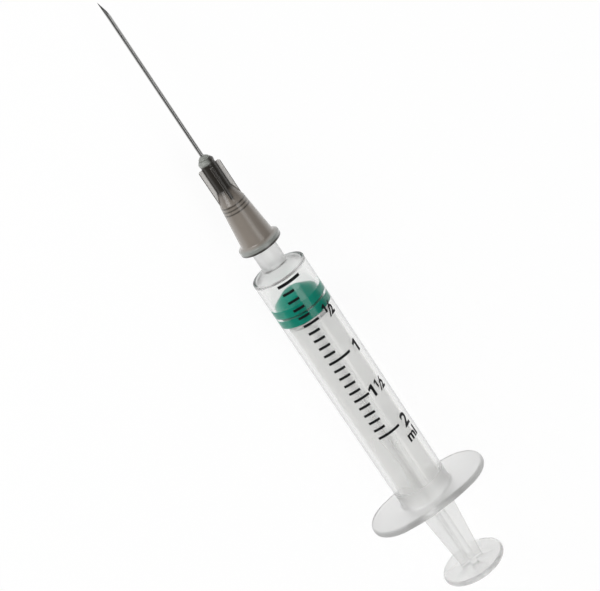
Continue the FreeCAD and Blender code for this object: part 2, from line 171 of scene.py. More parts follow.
class SyringePlungerSettings(bpy.types.PropertyGroup):
    """Sizes and colours of the stopper and the plunger rod."""
    squeeze: length("Squeeze", 0.03, "How far the rings press into the bore's wall")
    nose: length("Nose radius", 1.9, "Radius of the stopper's flat nose")
    nose_height: length("Nose height", 1.35, "From the nose to the front ring")
    brow: length("Brow", 0.15, "Step from the nose's cone up to the front ring")
    ring_width: length("Ring width", 1.72, "Width of a sealing ring")
    ring_flank: length("Ring flank", 0.1, "Length of a ring's sloping flank")
    ring_pitch: length("Ring pitch", 2.13, "From one ring to the next")
    waist: length("Waist depth", 0.75, "Depth of the groove between the rings")
    socket_mouth: length("Socket mouth", 1.9, "Radius of the socket's mouth")
    socket: length("Socket radius", 2.5, "Radius of the socket behind its lip")
    socket_lip: length("Socket lip", 1.0, "Thickness of the socket's lip")
    socket_depth: length("Socket depth", 3.4, "Depth of the socket")
    head_gap: length("Head gap", 0.05, "Room round the rod's head")
    head_tip: length("Head tip radius", 1.3, "Radius of the head's front")
    disc: length("Disc radius", 3.9, "Radius of the disc behind the stopper")
    disc_thickness: length("Disc thickness", 1.0, "Thickness of that disc")
    rib: length("Rib reach", 4.05, "Reach of a rib from the axis")
    rib_end: length("Rib end reach", 2.2, "Reach of a rib at the thumb pad")
    rib_taper: length("Rib taper", 20.8, "Length over which the ribs narrow")
    rib_thickness: length("Rib thickness", 1.2, "Thickness of a rib")
    rib_flare: length("Rib flare", 0.4, "Round between a rib and the pad or disc")
    pad_thickness: length("Pad thickness", 1.1, "Thickness of the thumb pad")
    pad_round: length("Pad round", 0.42, "Round of the pad's edges")
    rubber: colour("Rubber", (0.0, 0.285, 0.2), "Colour of the stopper")
    plastic: colour("Rod plastic", (0.90, 0.90, 0.895), "Tint of the rod's plastic")


class SyringeNeedleSettings(bpy.types.PropertyGroup):
    """Sizes and colours of the needle: hub, tube and glue."""
    rim_thickness: length("Rim thickness", 1.0, "Thickness of the rim")
    rim_flare: length("Rim flare", 0.4, "Length of the flare in front of the rim")
    rim_round: length("Rim round", 0.2, "Round of the rim's edges")
    skirt_rear: length("Skirt rear radius", 3.18, "Radius of the skirt at the rim")
    skirt_front: length("Skirt front radius", 2.34, "Radius of the skirt at the fins")
    skirt_length: length("Skirt length", 9.4, "From the fins' root to the hub's rear")
    core: length("Core radius", 1.36, "Radius of the slim core")
    core_cone: length("Core cone", 2.8, "Length of the cone between core and skirt")
    tip_bulge: length("Tip bulge", 1.5, "Greatest radius of the hub's tip")
    tip_nose: length("Tip nose", 0.5, "From the tip's face to its bulge")
    tip_length: length("Tip length", 1.0, "From the tip's face to the core")
    tip_face: length("Tip face", 1.15, "Radius of the tip's face")
    fins: number("Fins", 4, "Fins round the core")
    fin_reach: length("Fin reach", 2.18, "Reach of a fin from the axis")
    fin_thickness: length("Fin thickness", 0.6, "Thickness of a fin")
    fin_setback: length("Fin setback", 1.4, "From the tip's face to the fins")
    fin_round: length("Fin round", 0.35, "Round of a fin's front corner")
    seat_length: length("Seat length", 6.4, "Length of the nozzle inside the hub")
    hub_gap: length("Hub gap", 0.02, "Room between the hub and the nozzle")
    socket_relief: length("Socket relief", 1.0, "Room in front of the nozzle")
    steps: number("Steps", 3, "Rings that step the socket down")
    step_length: length("Step length", 0.55, "Length of a step")
    step_depth: length("Step depth", 0.16, "Depth of a step")
    # The dark ring lines are painted shade, laid on the skirt over the socket's steps.
    ring_setback: length("Ring setback", 0.5, "From the socket's end to the rear dark ring line")
    ring_spacing: length("Ring spacing", 0.65, "From one dark ring line to the next")
    funnel: length("Funnel", 1.9, "Length of the funnel to the tube")
    tube: length("Tube radius", 0.35, "Outside radius of the steel tube")
    tube_bore: length("Tube bore radius", 0.205, "Inside radius of the steel tube")
    tube_gap: length("Tube gap", 0.01, "Room between the tube and the hub")
    bevel: length("Bevel", 3.3, "Length of the ground bevel")
    lancet: length("Lancet", 2.3, "Length of the two lancet facets")
    lancet_turn: angle("Lancet turn", 38.0, "Turn of a lancet facet round the axis")
    bevel_turn: angle("Bevel turn", 30.0, "Tilt of the bevel's face from level")
    well_depth: length("Well depth", 1.8, "Depth of the glue's well")
    well: length("Well radius", 0.72, "Radius of the glue's well")
    bead: length("Bead radius", 1.1, "Radius of the glue's bead")
    bead_top: length("Bead top radius", 0.5, "Radius of the glue where it meets the tube")
    smoke: colour("Smoke", (0.40, 0.35, 0.30), "Colour of the hub's skirt")
    # Painted shade, laid on the thick core, the socket's ring lines, the rim's rear edge and the fins' edges.
    dark_smoke: colour("Smoke painted shade", (0.042, 0.036, 0.029), "Colour of the hub's thick core")
    # Painted light on the thin fins.
    thin_smoke: colour("Fin painted light", (0.80, 0.78, 0.75), "Colour of the hub's thin fins")
    # Grey on the rim's front, and painted light on the tip's side toward -Y, where the key lamp falls.
    grey_smoke: colour("Grey smoke and tip light", (0.42, 0.44, 0.41), "Colour of the hub's tip and the front of its rim")
    smoke_density: amount("Smoke density", 500.0, "How strongly the hub's plastic absorbs light")
    steel: colour("Steel", (0.52, 0.52, 0.51), "Colour of the steel tube")
    # Painted shade: the ground point is darkened in place of the dark reflections its facets show.
    ground_steel: colour("Ground point painted shade", (0.16, 0.16, 0.155), "Colour of the ground point")
    glue: colour("Glue", (0.50, 0.52, 0.48), "Tint of the glue")


class SyringeStageSettings(bpy.types.PropertyGroup):
    """The camera, the lamps and the floor."""
    tilt: angle("Tilt", 20.45, "Lean of the view along the syringe, from straight above")
    lean: angle("Lean", 6.0, "Lean of the view to the scale's left side")
    roll: angle("Roll", 33.74, "Turn of the syringe in the picture")
    distance: length("Distance", 329.6, "From the camera to the zero line's middle")
    side_step: length("Side step", 0.67, "Shift of the aim across the syringe")
    zero_to_aim: length("Aim place", 5.09, "From the zero line to the aim, toward the pad")
    focal: FloatProperty(name="Focal length", default=113.9, unit="CAMERA", description="The camera's lens")
    floor: colour("Floor", (0.88, 0.88, 0.875), "Colour of the floor")
    surroundings: amount("Surroundings", 0.4, "Light of the room")
    horizon: amount("Horizon", 0.55, "Brightness of the room's walls in gloss")
    ceiling: amount("Ceiling", 0.05, "Brightness of its ceiling in gloss")
    skylight: amount("Skylight", 0.45, "Brightness of its ceiling through clear plastic")


# Shapes

def held(points, closed):
    """The outline with a point close to each end of its long sides, so that rounds don't shade the flats."""
    result = []
    count = len(points)
    for index in range(count if closed else count - 1):
        first = Vector(points[index])
        last = Vector(points[(index + 1) % count])
        result.append(tuple(first))
        if (last - first).length > 4 * HOLD:
            along = (last - first).normalized() * HOLD
            result += [tuple(first + along), tuple(last - along)]
    if not closed:
        result.append(points[-1])
    return result


def arcs(corners, steps):
    """The points of an outline through corners of (place, radius, round), each round drawn as an arc."""
    points = []
    count = len(corners)
    for index, (place, radius, size) in enumerate(corners):
        here = Vector((place, radius))
        if not size:
            points.append((place, radius))
            continue
        before = (Vector(corners[index - 1][:2]) - here).normalized()
        after = (Vector(corners[(index + 1) % count][:2]) - here).normalized()
        half = before.angle(after) / 2
        centre = here + (before + after).normalized() * size / math.sin(half)
        start = here + before * size / math.tan(half) - centre
        end = here + after * size / math.tan(half) - centre
        for step in range(steps + 1):
            points.append(tuple(centre + start.slerp(end, step / steps).normalized() * size))
    return points


def rounded(corners, closed=True, steps=ARC_STEPS):
    """The outline through corners of (place, radius, round), with its flats held."""
    return held(arcs(corners, steps), closed)


def skinned(shape, rows, closed=False):
    """Faces from each row of points to the next, and from the last to the first where closed."""
    around = max(len(row) for row in rows)
    for first, second in zip(rows, rows[1:] + rows[:1] if closed else rows[1:]):
        for step in range(around):
            following = (step + 1) % around
            loop = [first[step % len(first)], first[following % len(first)],
                    second[following % len(second)], second[step % len(second)]]
            corners = list(dict.fromkeys(loop))
            if len(corners) > 2:
                shape.faces.new(corners)


def turned(name, points, closed=True, segments=TUBE_SEGMENTS, reach=None):
    """A mesh turned about the axis from (place, radius) points; reach may reshape a row by its angle."""
    shape = bmesh.new()
    rows = []
    for place, radius in points:
        if radius < WELD:
            rows.append([shape.verts.new((place, 0.0, AXIS))])
            continue
        row = []
        for step in range(segments):
            turn = 2 * math.pi * step / segments
            far = reach(radius, turn) if reach else radius
            row.append(shape.verts.new((place, far * math.cos(turn), AXIS + far * math.sin(turn))))
        rows.append(row)
    skinned(shape, rows, closed)
    return mesh_object(name, shape)


def turned_solid(name, corners, steps=ARC_STEPS, segments=TUBE_SEGMENTS):
    """A solid turned about the axis from corners that start and end on it."""
    return turned(name, rounded(corners, False, steps), False, segments)


def plain_mesh(name, shape):
    """The finished shape as a mesh."""
    mesh = bpy.data.meshes.new(name)
    shape.to_mesh(mesh)
    shape.free()
    return mesh


def linked(name, data):
    """A new object of the scene."""
    made = bpy.data.objects.new(name, data)
    bpy.context.scene.collection.objects.link(made)
    return made


def mesh_object(name, shape):
    """An object for the finished shape, with its faces turned outward."""
    bmesh.ops.recalc_face_normals(shape, faces=shape.faces)
    return linked(name, plain_mesh(name, shape))


def evaluated_mesh(made):
    """A plain mesh of the object with its modifiers worked in."""
    bpy.context.view_layer.update()
    return bpy.data.meshes.new_from_object(made.evaluated_get(bpy.context.evaluated_depsgraph_get()))


def settled(made):
    """The object with its modifiers worked into a plain mesh."""
    mesh = evaluated_mesh(made)
    mesh.name = made.name
    made.modifiers.clear()
    made.data = mesh
    return made


def combined(first, second, operation):
    """Join the second object to the first, or cut the first by it."""
    cut = first.modifiers.new(operation.title(), "BOOLEAN")
    cut.operation = operation
    cut.solver = "EXACT"
    cut.object = second
    settled(first)
    bpy.data.objects.remove(second)


def plus_section(half_width, half_thickness, corner, root):
    """The closed outline of four crossed ribs, with round corners and round roots."""
    corners = []
    for turn in range(4):
        spin = Matrix.Rotation(turn * math.pi / 2, 2)
        for across, up, size in ((half_width, -half_thickness, corner), (half_width, half_thickness, corner),
                                 (half_thickness, half_thickness, root)):
            corners.append((*(spin @ Vector((across, up))), size))
    return arcs(corners, 4)


def lettering(text, weight):
    """A numeral or letters of the built-in lettering, flat, with the lower left corner at the origin."""
    curve = bpy.data.curves.new("glyph", "FONT")
    curve.body = text
    curve.resolution_u = 6
    curve.offset = weight
    made = linked("glyph", curve)
    mesh = evaluated_mesh(made)
    bpy.data.objects.remove(made)
    return mesh


# Nodes

def connect(tree, made, values):
    """The node's inputs linked to sockets or set to values."""
    for label, value in values.items():
        socket = made.inputs[label]
        if isinstance(value, bpy.types.NodeSocket):
            tree.links.new(value, socket)
        else:
            socket.default_value = (*value, 1.0) if socket.type == "RGBA" else value


def node(tree, kind, values=None, **settings):
    """A node of the tree, with its settings, and its inputs linked to sockets or set to values."""
    made = tree.nodes.new(kind)
    for label, value in settings.items():
        setattr(made, label, value)
    connect(tree, made, values or {})
    return made


def math_node(tree, operation, first, second=0.0):
    """The result of a sum or the like between two sockets or values."""
    return node(tree, "ShaderNodeMath", {0: first, 1: second}, operation=operation).outputs[0]


def vector(tree, **parts):
    """A vector from its X, Y and Z."""
    return node(tree, "ShaderNodeCombineXYZ", parts).outputs[0]


def placed(tree, name, values):
    """A shared group placed in the tree with these inputs, made when it is first asked for."""
    kind = tree.bl_idname.replace("Tree", "Group")
    shared = bpy.data.node_groups.get(name) or SHARED_GROUPS[name]()
    return node(tree, kind, values, node_tree=shared).outputs


# Geometry node trees

def new_tree(name, inputs):
    """An empty geometry node tree with these inputs by their kind, and what they give."""
    tree = bpy.data.node_groups.new(name, "GeometryNodeTree")
    for kind, labels in inputs.items():
        for label in labels:
            tree.interface.new_socket(label, in_out="INPUT", socket_type="NodeSocket" + kind)
    tree.interface.new_socket("Geometry", in_out="OUTPUT", socket_type="NodeSocketGeometry")
    return tree, node(tree, "NodeGroupInput").outputs


def wrap_tree():
    """A group that lays flat print on the tube: X stays, Y goes round it, and Z stands off it."""
    tree, given = new_tree("Wrap On Tube", {"Geometry": ("Geometry",), "Float": ("Radius", "Start", "Axis Height")})
    calc = partial(math_node, tree)
    flat = node(tree, "ShaderNodeSeparateXYZ", {0: node(tree, "GeometryNodeInputPosition").outputs[0]}).outputs
    turn = calc("ADD", given["Start"], calc("DIVIDE", flat["Y"], given["Radius"]))
    far = calc("ADD", given["Radius"], flat["Z"])
    across = calc("MULTIPLY", far, calc("SINE", turn))
    height = calc("ADD", calc("MULTIPLY", far, calc("COSINE", turn)), given["Axis Height"])
    moved = node(tree, "GeometryNodeSetPosition", {
        "Geometry": given["Geometry"], "Position": vector(tree, X=flat["X"], Y=across, Z=height)})
    node(tree, "NodeGroupOutput", {"Geometry": moved.outputs[0]})
    return tree


def wrapped(tree, geometry, given):
    """The geometry laid on the tube by the wrapping group."""
    return placed(tree, "Wrap On Tube", {
        "Geometry": geometry, **{label: given[label] for label in ("Radius", "Start", "Axis Height")}})[0]


def finished(tree, geometry, material):
    """The end of a tree: real geometry with its material."""
    real = node(tree, "GeometryNodeRealizeInstances", {"Geometry": geometry}).outputs[0]
    coloured = node(tree, "GeometryNodeSetMaterial", {"Geometry": real, "Material": material}).outputs[0]
    node(tree, "NodeGroupOutput", {"Geometry": coloured})
    return tree


def thickened(tree, face, thickness):
    """A flat face raised by a thickness and closed below."""
    raised = node(tree, "GeometryNodeExtrudeMesh", {
        "Mesh": face, "Offset": vector(tree, Z=1.0), "Offset Scale": thickness, "Individual": False}).outputs[0]
    below = node(tree, "GeometryNodeFlipFaces", {"Mesh": face}).outputs[0]
    whole = node(tree, "GeometryNodeJoinGeometry")
    for part in (raised, below):
        tree.links.new(part, whole.inputs[0])
    return node(tree, "GeometryNodeMergeByDistance", {"Geometry": whole.outputs[0], "Distance": WELD}).outputs[0]


def scale_tree(material):
    """The lines of the scale: thin bars in a row, longer at each half and whole, laid on the tube."""
    tree, given = new_tree("Scale Lines", {
        "Int": ("Count",), "Float": ("First Place", "Pitch", "Width", "Zero Width", "Short", "Half", "Whole",
                                     "Thickness", "Radius", "Start", "Axis Height")})
    row = node(tree, "GeometryNodeMeshLine", {
        "Count": given["Count"], "Start Location": vector(tree, X=given["First Place"]),
        "Offset": vector(tree, X=given["Pitch"])}, mode="OFFSET", count_mode="TOTAL").outputs[0]
    bar = node(tree, "GeometryNodeMeshCube", {
        "Size": (1.0, 1.0, 1.0), "Vertices X": 2, "Vertices Y": 25, "Vertices Z": 2}).outputs[0]
    bar = node(tree, "GeometryNodeTransform", {"Geometry": bar, "Translation": (0.0, 0.5, 0.5)}).outputs[0]
    index = node(tree, "GeometryNodeInputIndex").outputs[0]

    def chosen(hit, otherwise, value):
        return node(tree, "GeometryNodeSwitch", {"Switch": hit, "False": otherwise, "True": value},
                    input_type="FLOAT").outputs[0]

    span = given["Short"]
    for every, longer in ((5.0, given["Half"]), (10.0, given["Whole"])):
        hit = math_node(tree, "LESS_THAN", math_node(tree, "MODULO", index, every), 0.5)
        span = chosen(hit, span, longer)
    width = chosen(math_node(tree, "LESS_THAN", index, 0.5), given["Width"], given["Zero Width"])
    around = math_node(tree, "MULTIPLY", span, given["Radius"])
    bars = node(tree, "GeometryNodeInstanceOnPoints", {
        "Points": row, "Instance": bar,
        "Scale": vector(tree, X=width, Y=around, Z=given["Thickness"])}).outputs[0]
    real = node(tree, "GeometryNodeRealizeInstances", {"Geometry": bars}).outputs[0]
    return finished(tree, wrapped(tree, real, given), material)


def print_tree(material):
    """Flat lettering given a thickness and laid on the tube."""
    tree, given = new_tree("Printed Numerals", {
        "Geometry": ("Geometry",), "Float": ("Thickness", "Radius", "Start", "Axis Height")})
    welded = thickened(tree, given["Geometry"], given["Thickness"])
    return finished(tree, wrapped(tree, welded, given), material)


def fin_tree(material):
    """Fins set round the axis, each a plate with round corners."""
    tree, given = new_tree("Hub Fins", {
        "Int": ("Count",), "Float": ("Length", "Height", "Thickness", "Corner", "Axis Height"),
        "Vector": ("Middle",)})
    plate = node(tree, "GeometryNodeCurvePrimitiveQuadrilateral",
                 {"Width": given["Length"], "Height": given["Height"]}).outputs[0]
    plate = node(tree, "GeometryNodeFilletCurve", {"Curve": plate, "Count": 5, "Radius": given["Corner"]},
                 mode="POLY").outputs[0]
    face = node(tree, "GeometryNodeFillCurve", {"Curve": plate}, mode="NGONS").outputs[0]
    solid = node(tree, "GeometryNodeTransform", {
        "Geometry": thickened(tree, face, given["Thickness"]), "Translation": given["Middle"]}).outputs[0]
    spots = node(tree, "GeometryNodePoints", {
        "Count": given["Count"], "Position": vector(tree, Z=given["Axis Height"])}).outputs[0]
    index = node(tree, "GeometryNodeInputIndex").outputs[0]
    turn = math_node(tree, "DIVIDE", math_node(tree, "MULTIPLY", index, 2 * math.pi), given["Count"])
    ring = node(tree, "GeometryNodeInstanceOnPoints", {
        "Points": spots, "Instance": solid, "Rotation": vector(tree, X=turn)})
    return finished(tree, ring.outputs[0], material)


def grown(name, tree, values, mesh=None):
    """An object made by the tree with these inputs, as a plain mesh."""
    made = linked(name, mesh or bpy.data.meshes.new(name))
    modifier = made.modifiers.new(tree.name, "NODES")
    modifier.node_group = tree
    for item in tree.interface.items_tree:
        if item.in_out == "INPUT" and item.name in values:
            modifier[item.identifier] = values[item.name]
    return settled(made)


# Shader node groups

def new_group(name, inputs, outputs):
    """An empty shader node group, and what its inputs give."""
    group = bpy.data.node_groups.new(name, "ShaderNodeTree")
    for label, default in inputs.items():
        socket = group.interface.new_socket(label, in_out="INPUT", socket_type="NodeSocketFloat")
        socket.default_value = default
    for label in outputs:
        group.interface.new_socket(label, in_out="OUTPUT", socket_type="NodeSocketFloat")
    return group, node(group, "NodeGroupInput").outputs


def object_place(tree):
    """The place on the piece."""
    return node(tree, "ShaderNodeTexCoord").outputs["Object"]


def object_axes(tree):
    """The X, Y and Z of the place on the piece."""
    return node(tree, "ShaderNodeSeparateXYZ", {0: object_place(tree)}).outputs


def stretched(tree, place, share):
    """The place with its way along the axis shrunk, which draws a pattern out along it."""
    return node(tree, "ShaderNodeMapping", {"Vector": place, "Scale": (share, 1.0, 1.0)}).outputs[0]


def noise(tree, place, scale, detail=2.0):
    """A cloudy pattern between 0 and 1."""
    return node(tree, "ShaderNodeTexNoise", {"Vector": place, "Scale": scale, "Detail": detail}).outputs[0]


def ranged(tree, value, low=0.0, high=1.0, start=0.0, end=1.0):
    """A value from start to end spread over another range, and held there beyond them."""
    return node(tree, "ShaderNodeMapRange", {
        "Value": value, "From Min": start, "From Max": end, "To Min": low, "To Max": high}).outputs[0]


def moulding_group():
    """What injection moulding leaves: long soft flow waves, fine orange peel and faint specks."""
    group, given = new_group("Moulding", {"Flow Scale": 90.0, "Peel Scale": 900.0, "Speck Scale": 2600.0},
                             ("Height", "Mask", "Specks"))
    place = object_place(group)
    flow = noise(group, stretched(group, place, 0.22), given["Flow Scale"])
    peel = math_node(group, "MULTIPLY", noise(group, place, given["Peel Scale"]), 0.12)
    grit = noise(group, place, given["Speck Scale"], 1.0)
    node(group, "NodeGroupOutput", {"Height": math_node(group, "ADD", flow, peel), "Mask": flow,
                                    "Specks": ranged(group, grit, start=0.72, end=0.80)})
    return group


def drawn_group():
    """Fine lines along the axis, as drawing and grinding leave them."""
    group, given = new_group("Drawn Lines", {"Line Scale": 9000.0}, ("Lines",))
    place = object_place(group)
    node(group, "NodeGroupOutput", {"Lines": noise(group, stretched(group, place, 0.02), given["Line Scale"])})
    return group


def ends_group():
    """A mask that is 1 in front of one place on the axis and behind another."""
    group, given = new_group("Both Ends", {"Front": 0.0, "Front Blend": 0.001, "Rear": 1.0, "Rear Blend": 0.001},
                             ("Mask",))
    calc = partial(math_node, group)
    place = object_axes(group)["X"]
    past_front = calc("DIVIDE", calc("SUBTRACT", given["Front"], place), given["Front Blend"])
    past_rear = calc("DIVIDE", calc("SUBTRACT", place, given["Rear"]), given["Rear Blend"])
    mask = node(group, "ShaderNodeClamp", {0: calc("MAXIMUM", past_front, past_rear)}).outputs[0]
    node(group, "NodeGroupOutput", {"Mask": mask})
    return group


def depth_group():
    """Masks for painted light and shade that follow the hub's shape: painted light on the thin fins, painted shade
    on their edges, on the thick front and in the socket's ring lines.
    """
    group, given = new_group("Hub Light And Shade Masks", {
        "Axis Height": 0.0, "Core": 0.0, "Skirt": 0.0, "Cone Start": 0.0, "Cone End": 0.0, "Reach": 0.0,
        "First Ring": 0.0, "Ring Pitch": 1.0, "Rings": 3.0}, ("Fins", "Fin Edge Painted Shade", "Thick", "Ring Painted Shade"))
    calc = partial(math_node, group)
    place = object_axes(group)
    flat = vector(group, X=place["Y"], Y=calc("SUBTRACT", place["Z"], given["Axis Height"]))
    radius = node(group, "ShaderNodeVectorMath", {0: flat}, operation="LENGTH").outputs["Value"]
    body = ranged(group, place["X"], given["Core"], given["Skirt"], given["Cone Start"], given["Cone End"])
    beyond = ranged(group, calc("SUBTRACT", radius, body), start=0.05 * MM, end=0.2 * MM)
    in_front = ranged(group, calc("SUBTRACT", place["X"], given["Cone End"]), start=0.1 * MM, end=0.0)
    outside = calc("MULTIPLY", beyond, in_front)
    # Painted light: the pale fin colour is full on the fins that face -Y and +Y and weak on the top and bottom
    # fins.
    sideways = calc("DIVIDE", calc("ABSOLUTE", place["Y"]), radius)
    level = ranged(group, sideways, 0.12, 1.0, 0.6, 0.8)
    # Painted shade along the fins' outer edges.
    edge = ranged(group, calc("SUBTRACT", radius, given["Reach"]), start=-0.12 * MM, end=-0.03 * MM)
    # Painted shade on the thick core: full in front of the cone, fading over the cone toward the skirt.
    past_core = calc("SUBTRACT", place["X"], given["Cone Start"])
    sharply = ranged(group, past_core, 0.0, 0.62, 0.9 * MM, 0.1 * MM)
    slowly = ranged(group, past_core, 0.0, 0.38, 3.6 * MM, 0.8 * MM)
    # Painted shade in thin ring lines over the socket's steps.
    behind = calc("DIVIDE", calc("SUBTRACT", given["First Ring"], place["X"]), given["Ring Pitch"])
    near = calc("ABSOLUTE", calc("SUBTRACT", behind, calc("ROUND", behind)))
    line = ranged(group, near, start=0.3, end=0.12)
    within = calc("MULTIPLY", calc("GREATER_THAN", behind, -0.5),
                  calc("LESS_THAN", behind, calc("SUBTRACT", given["Rings"], 0.5)))
    node(group, "NodeGroupOutput", {
        "Fins": calc("MULTIPLY", outside, level), "Fin Edge Painted Shade": calc("MULTIPLY", edge, outside),
        "Thick": calc("ADD", sharply, slowly), "Ring Painted Shade": calc("MULTIPLY", line, within)})
    return group


SHARED_GROUPS = {"Wrap On Tube": wrap_tree, "Moulding": moulding_group, "Drawn Lines": drawn_group,
                 "Both Ends": ends_group, "Hub Light And Shade Masks": depth_group}


# Materials

def new_material(name):
    """A material with a Principled shader, returned with its tree, shader and output."""
    material = bpy.data.materials.new(name)
    material.use_nodes = True
    tree = material.node_tree
    return material, tree, tree.nodes["Principled BSDF"], tree.nodes["Material Output"]


def scaled(colour_value, factor):
    """A colour made darker or lighter by a factor."""
    return tuple(min(1.0, channel * factor) for channel in colour_value)


def mixed(tree, factor, first, second):
    """A colour between two colours or sockets, chosen by a mask."""
    return node(tree, "ShaderNodeMix", {"Factor": factor, 6: first, 7: second}, data_type="RGBA").outputs[2]


def cloudy(tree, mask, tint, low, high):
    """A colour that varies by a mask between a darker and a lighter share of it."""
    return mixed(tree, mask, scaled(tint, low), scaled(tint, high))


def bumped(tree, height, millimetres):
    """A normal from the height, raised by so many millimetres."""
    return node(tree, "ShaderNodeBump", {
        "Height": height, "Strength": 1.0, "Distance": millimetres * MM}).outputs[0]


def lets_light_by(tree, shader, output, shade):
    """Light passes the clear piece toward what lies behind it, dimmed by a shade."""
    clear = node(tree, "ShaderNodeBsdfTransparent", {"Color": shade})
    rays = node(tree, "ShaderNodeLightPath").outputs["Is Shadow Ray"]
    mix = node(tree, "ShaderNodeMixShader", {0: rays, 1: shader.outputs[0], 2: clear.outputs[0]})
    tree.links.new(mix.outputs[0], output.inputs["Surface"])


def absorbing(tree, output, tint, density):
    """Light fades on its way through the thick places of a clear piece."""
    fade = node(tree, "ShaderNodeVolumeAbsorption", {"Color": tint, "Density": density})
    tree.links.new(fade.outputs[0], output.inputs["Volume"])


def clear_plastic():
    """Clear plastic of the barrel: glossy along the tube, frosted at the nozzle, shoulder and flange."""
    settings = bpy.context.scene.syringe_barrel
    material, tree, shader, output = new_material("clear_plastic")
    effects = placed(tree, "Moulding", {"Flow Scale": 70.0})
    ends = placed(tree, "Both Ends", {
        "Front": ZERO - settings.shoulder_corner + SHOULDER_FROST, "Front Blend": 0.5 * MM,
        "Rear": BARREL_HIGH.x - settings.flange_thickness - FLANGE_FROST, "Rear Blend": 1.6 * MM})["Mask"]
    clear = cloudy(tree, effects["Mask"], settings.plastic, 0.985, 1.015)
    gloss = ranged(tree, effects["Mask"], 0.08, 0.15)
    connect(tree, shader, {
        "Base Color": mixed(tree, ends, clear, settings.frosted),
        "Roughness": math_node(tree, "ADD", gloss, math_node(tree, "MULTIPLY", ends, FROST_ROUGHNESS)),
        "Normal": bumped(tree, effects["Height"], 0.012), "Transmission Weight": 1.0, "IOR": PLASTIC_IOR})
    lets_light_by(tree, shader, output, scaled(settings.plastic, 0.96))
    absorbing(tree, output, (0.5, 0.5, 0.49), settings.haze)
    return material


def milky_plastic():
    """Milkier plastic of the plunger rod, with a slightly uneven gloss."""
    tint = bpy.context.scene.syringe_plunger.plastic
    material, tree, shader, output = new_material("milky_plastic")
    effects = placed(tree, "Moulding", {"Flow Scale": 110.0})
    connect(tree, shader, {
        "Base Color": cloudy(tree, effects["Mask"], tint, 0.97, 1.03),
        "Roughness": ranged(tree, effects["Mask"], 0.18, 0.34),
        "Normal": bumped(tree, effects["Height"], 0.04), "Transmission Weight": 0.75, "IOR": PLASTIC_IOR})
    lets_light_by(tree, shader, output, scaled(tint, 0.95))
    return material


def printed_ink():
    """Printed ink: black, satin, a little thinner in places."""
    material, tree, shader, _ = new_material("printed_ink")
    effects = placed(tree, "Moulding", {"Flow Scale": 700.0, "Peel Scale": 3000.0})
    connect(tree, shader, {
        "Base Color": cloudy(tree, effects["Mask"], bpy.context.scene.syringe_barrel.ink, 1.0, 2.2),
        "Roughness": ranged(tree, effects["Mask"], 0.4, 0.6),
        "Normal": bumped(tree, effects["Height"], 0.004), "Specular IOR Level": 0.25})
    return material


def oiled_rubber():
    """Oiled green rubber: satin, with cloudy colour and faint specks."""
    material, tree, shader, _ = new_material("oiled_rubber")
    effects = placed(tree, "Moulding", {"Flow Scale": 260.0, "Peel Scale": 2200.0})
    rubber = bpy.context.scene.syringe_plunger.rubber
    cloud = cloudy(tree, effects["Mask"], rubber, 0.72, 1.25)
    connect(tree, shader, {
        "Base Color": mixed(tree, effects["Specks"], cloud, scaled(rubber, 2.0)),
        "Roughness": ranged(tree, effects["Mask"], 0.24, 0.42),
        "Normal": bumped(tree, effects["Height"], 0.02), "Specular IOR Level": 0.15,
        "Coat Weight": 0.04, "Coat Roughness": 0.15})
    return material


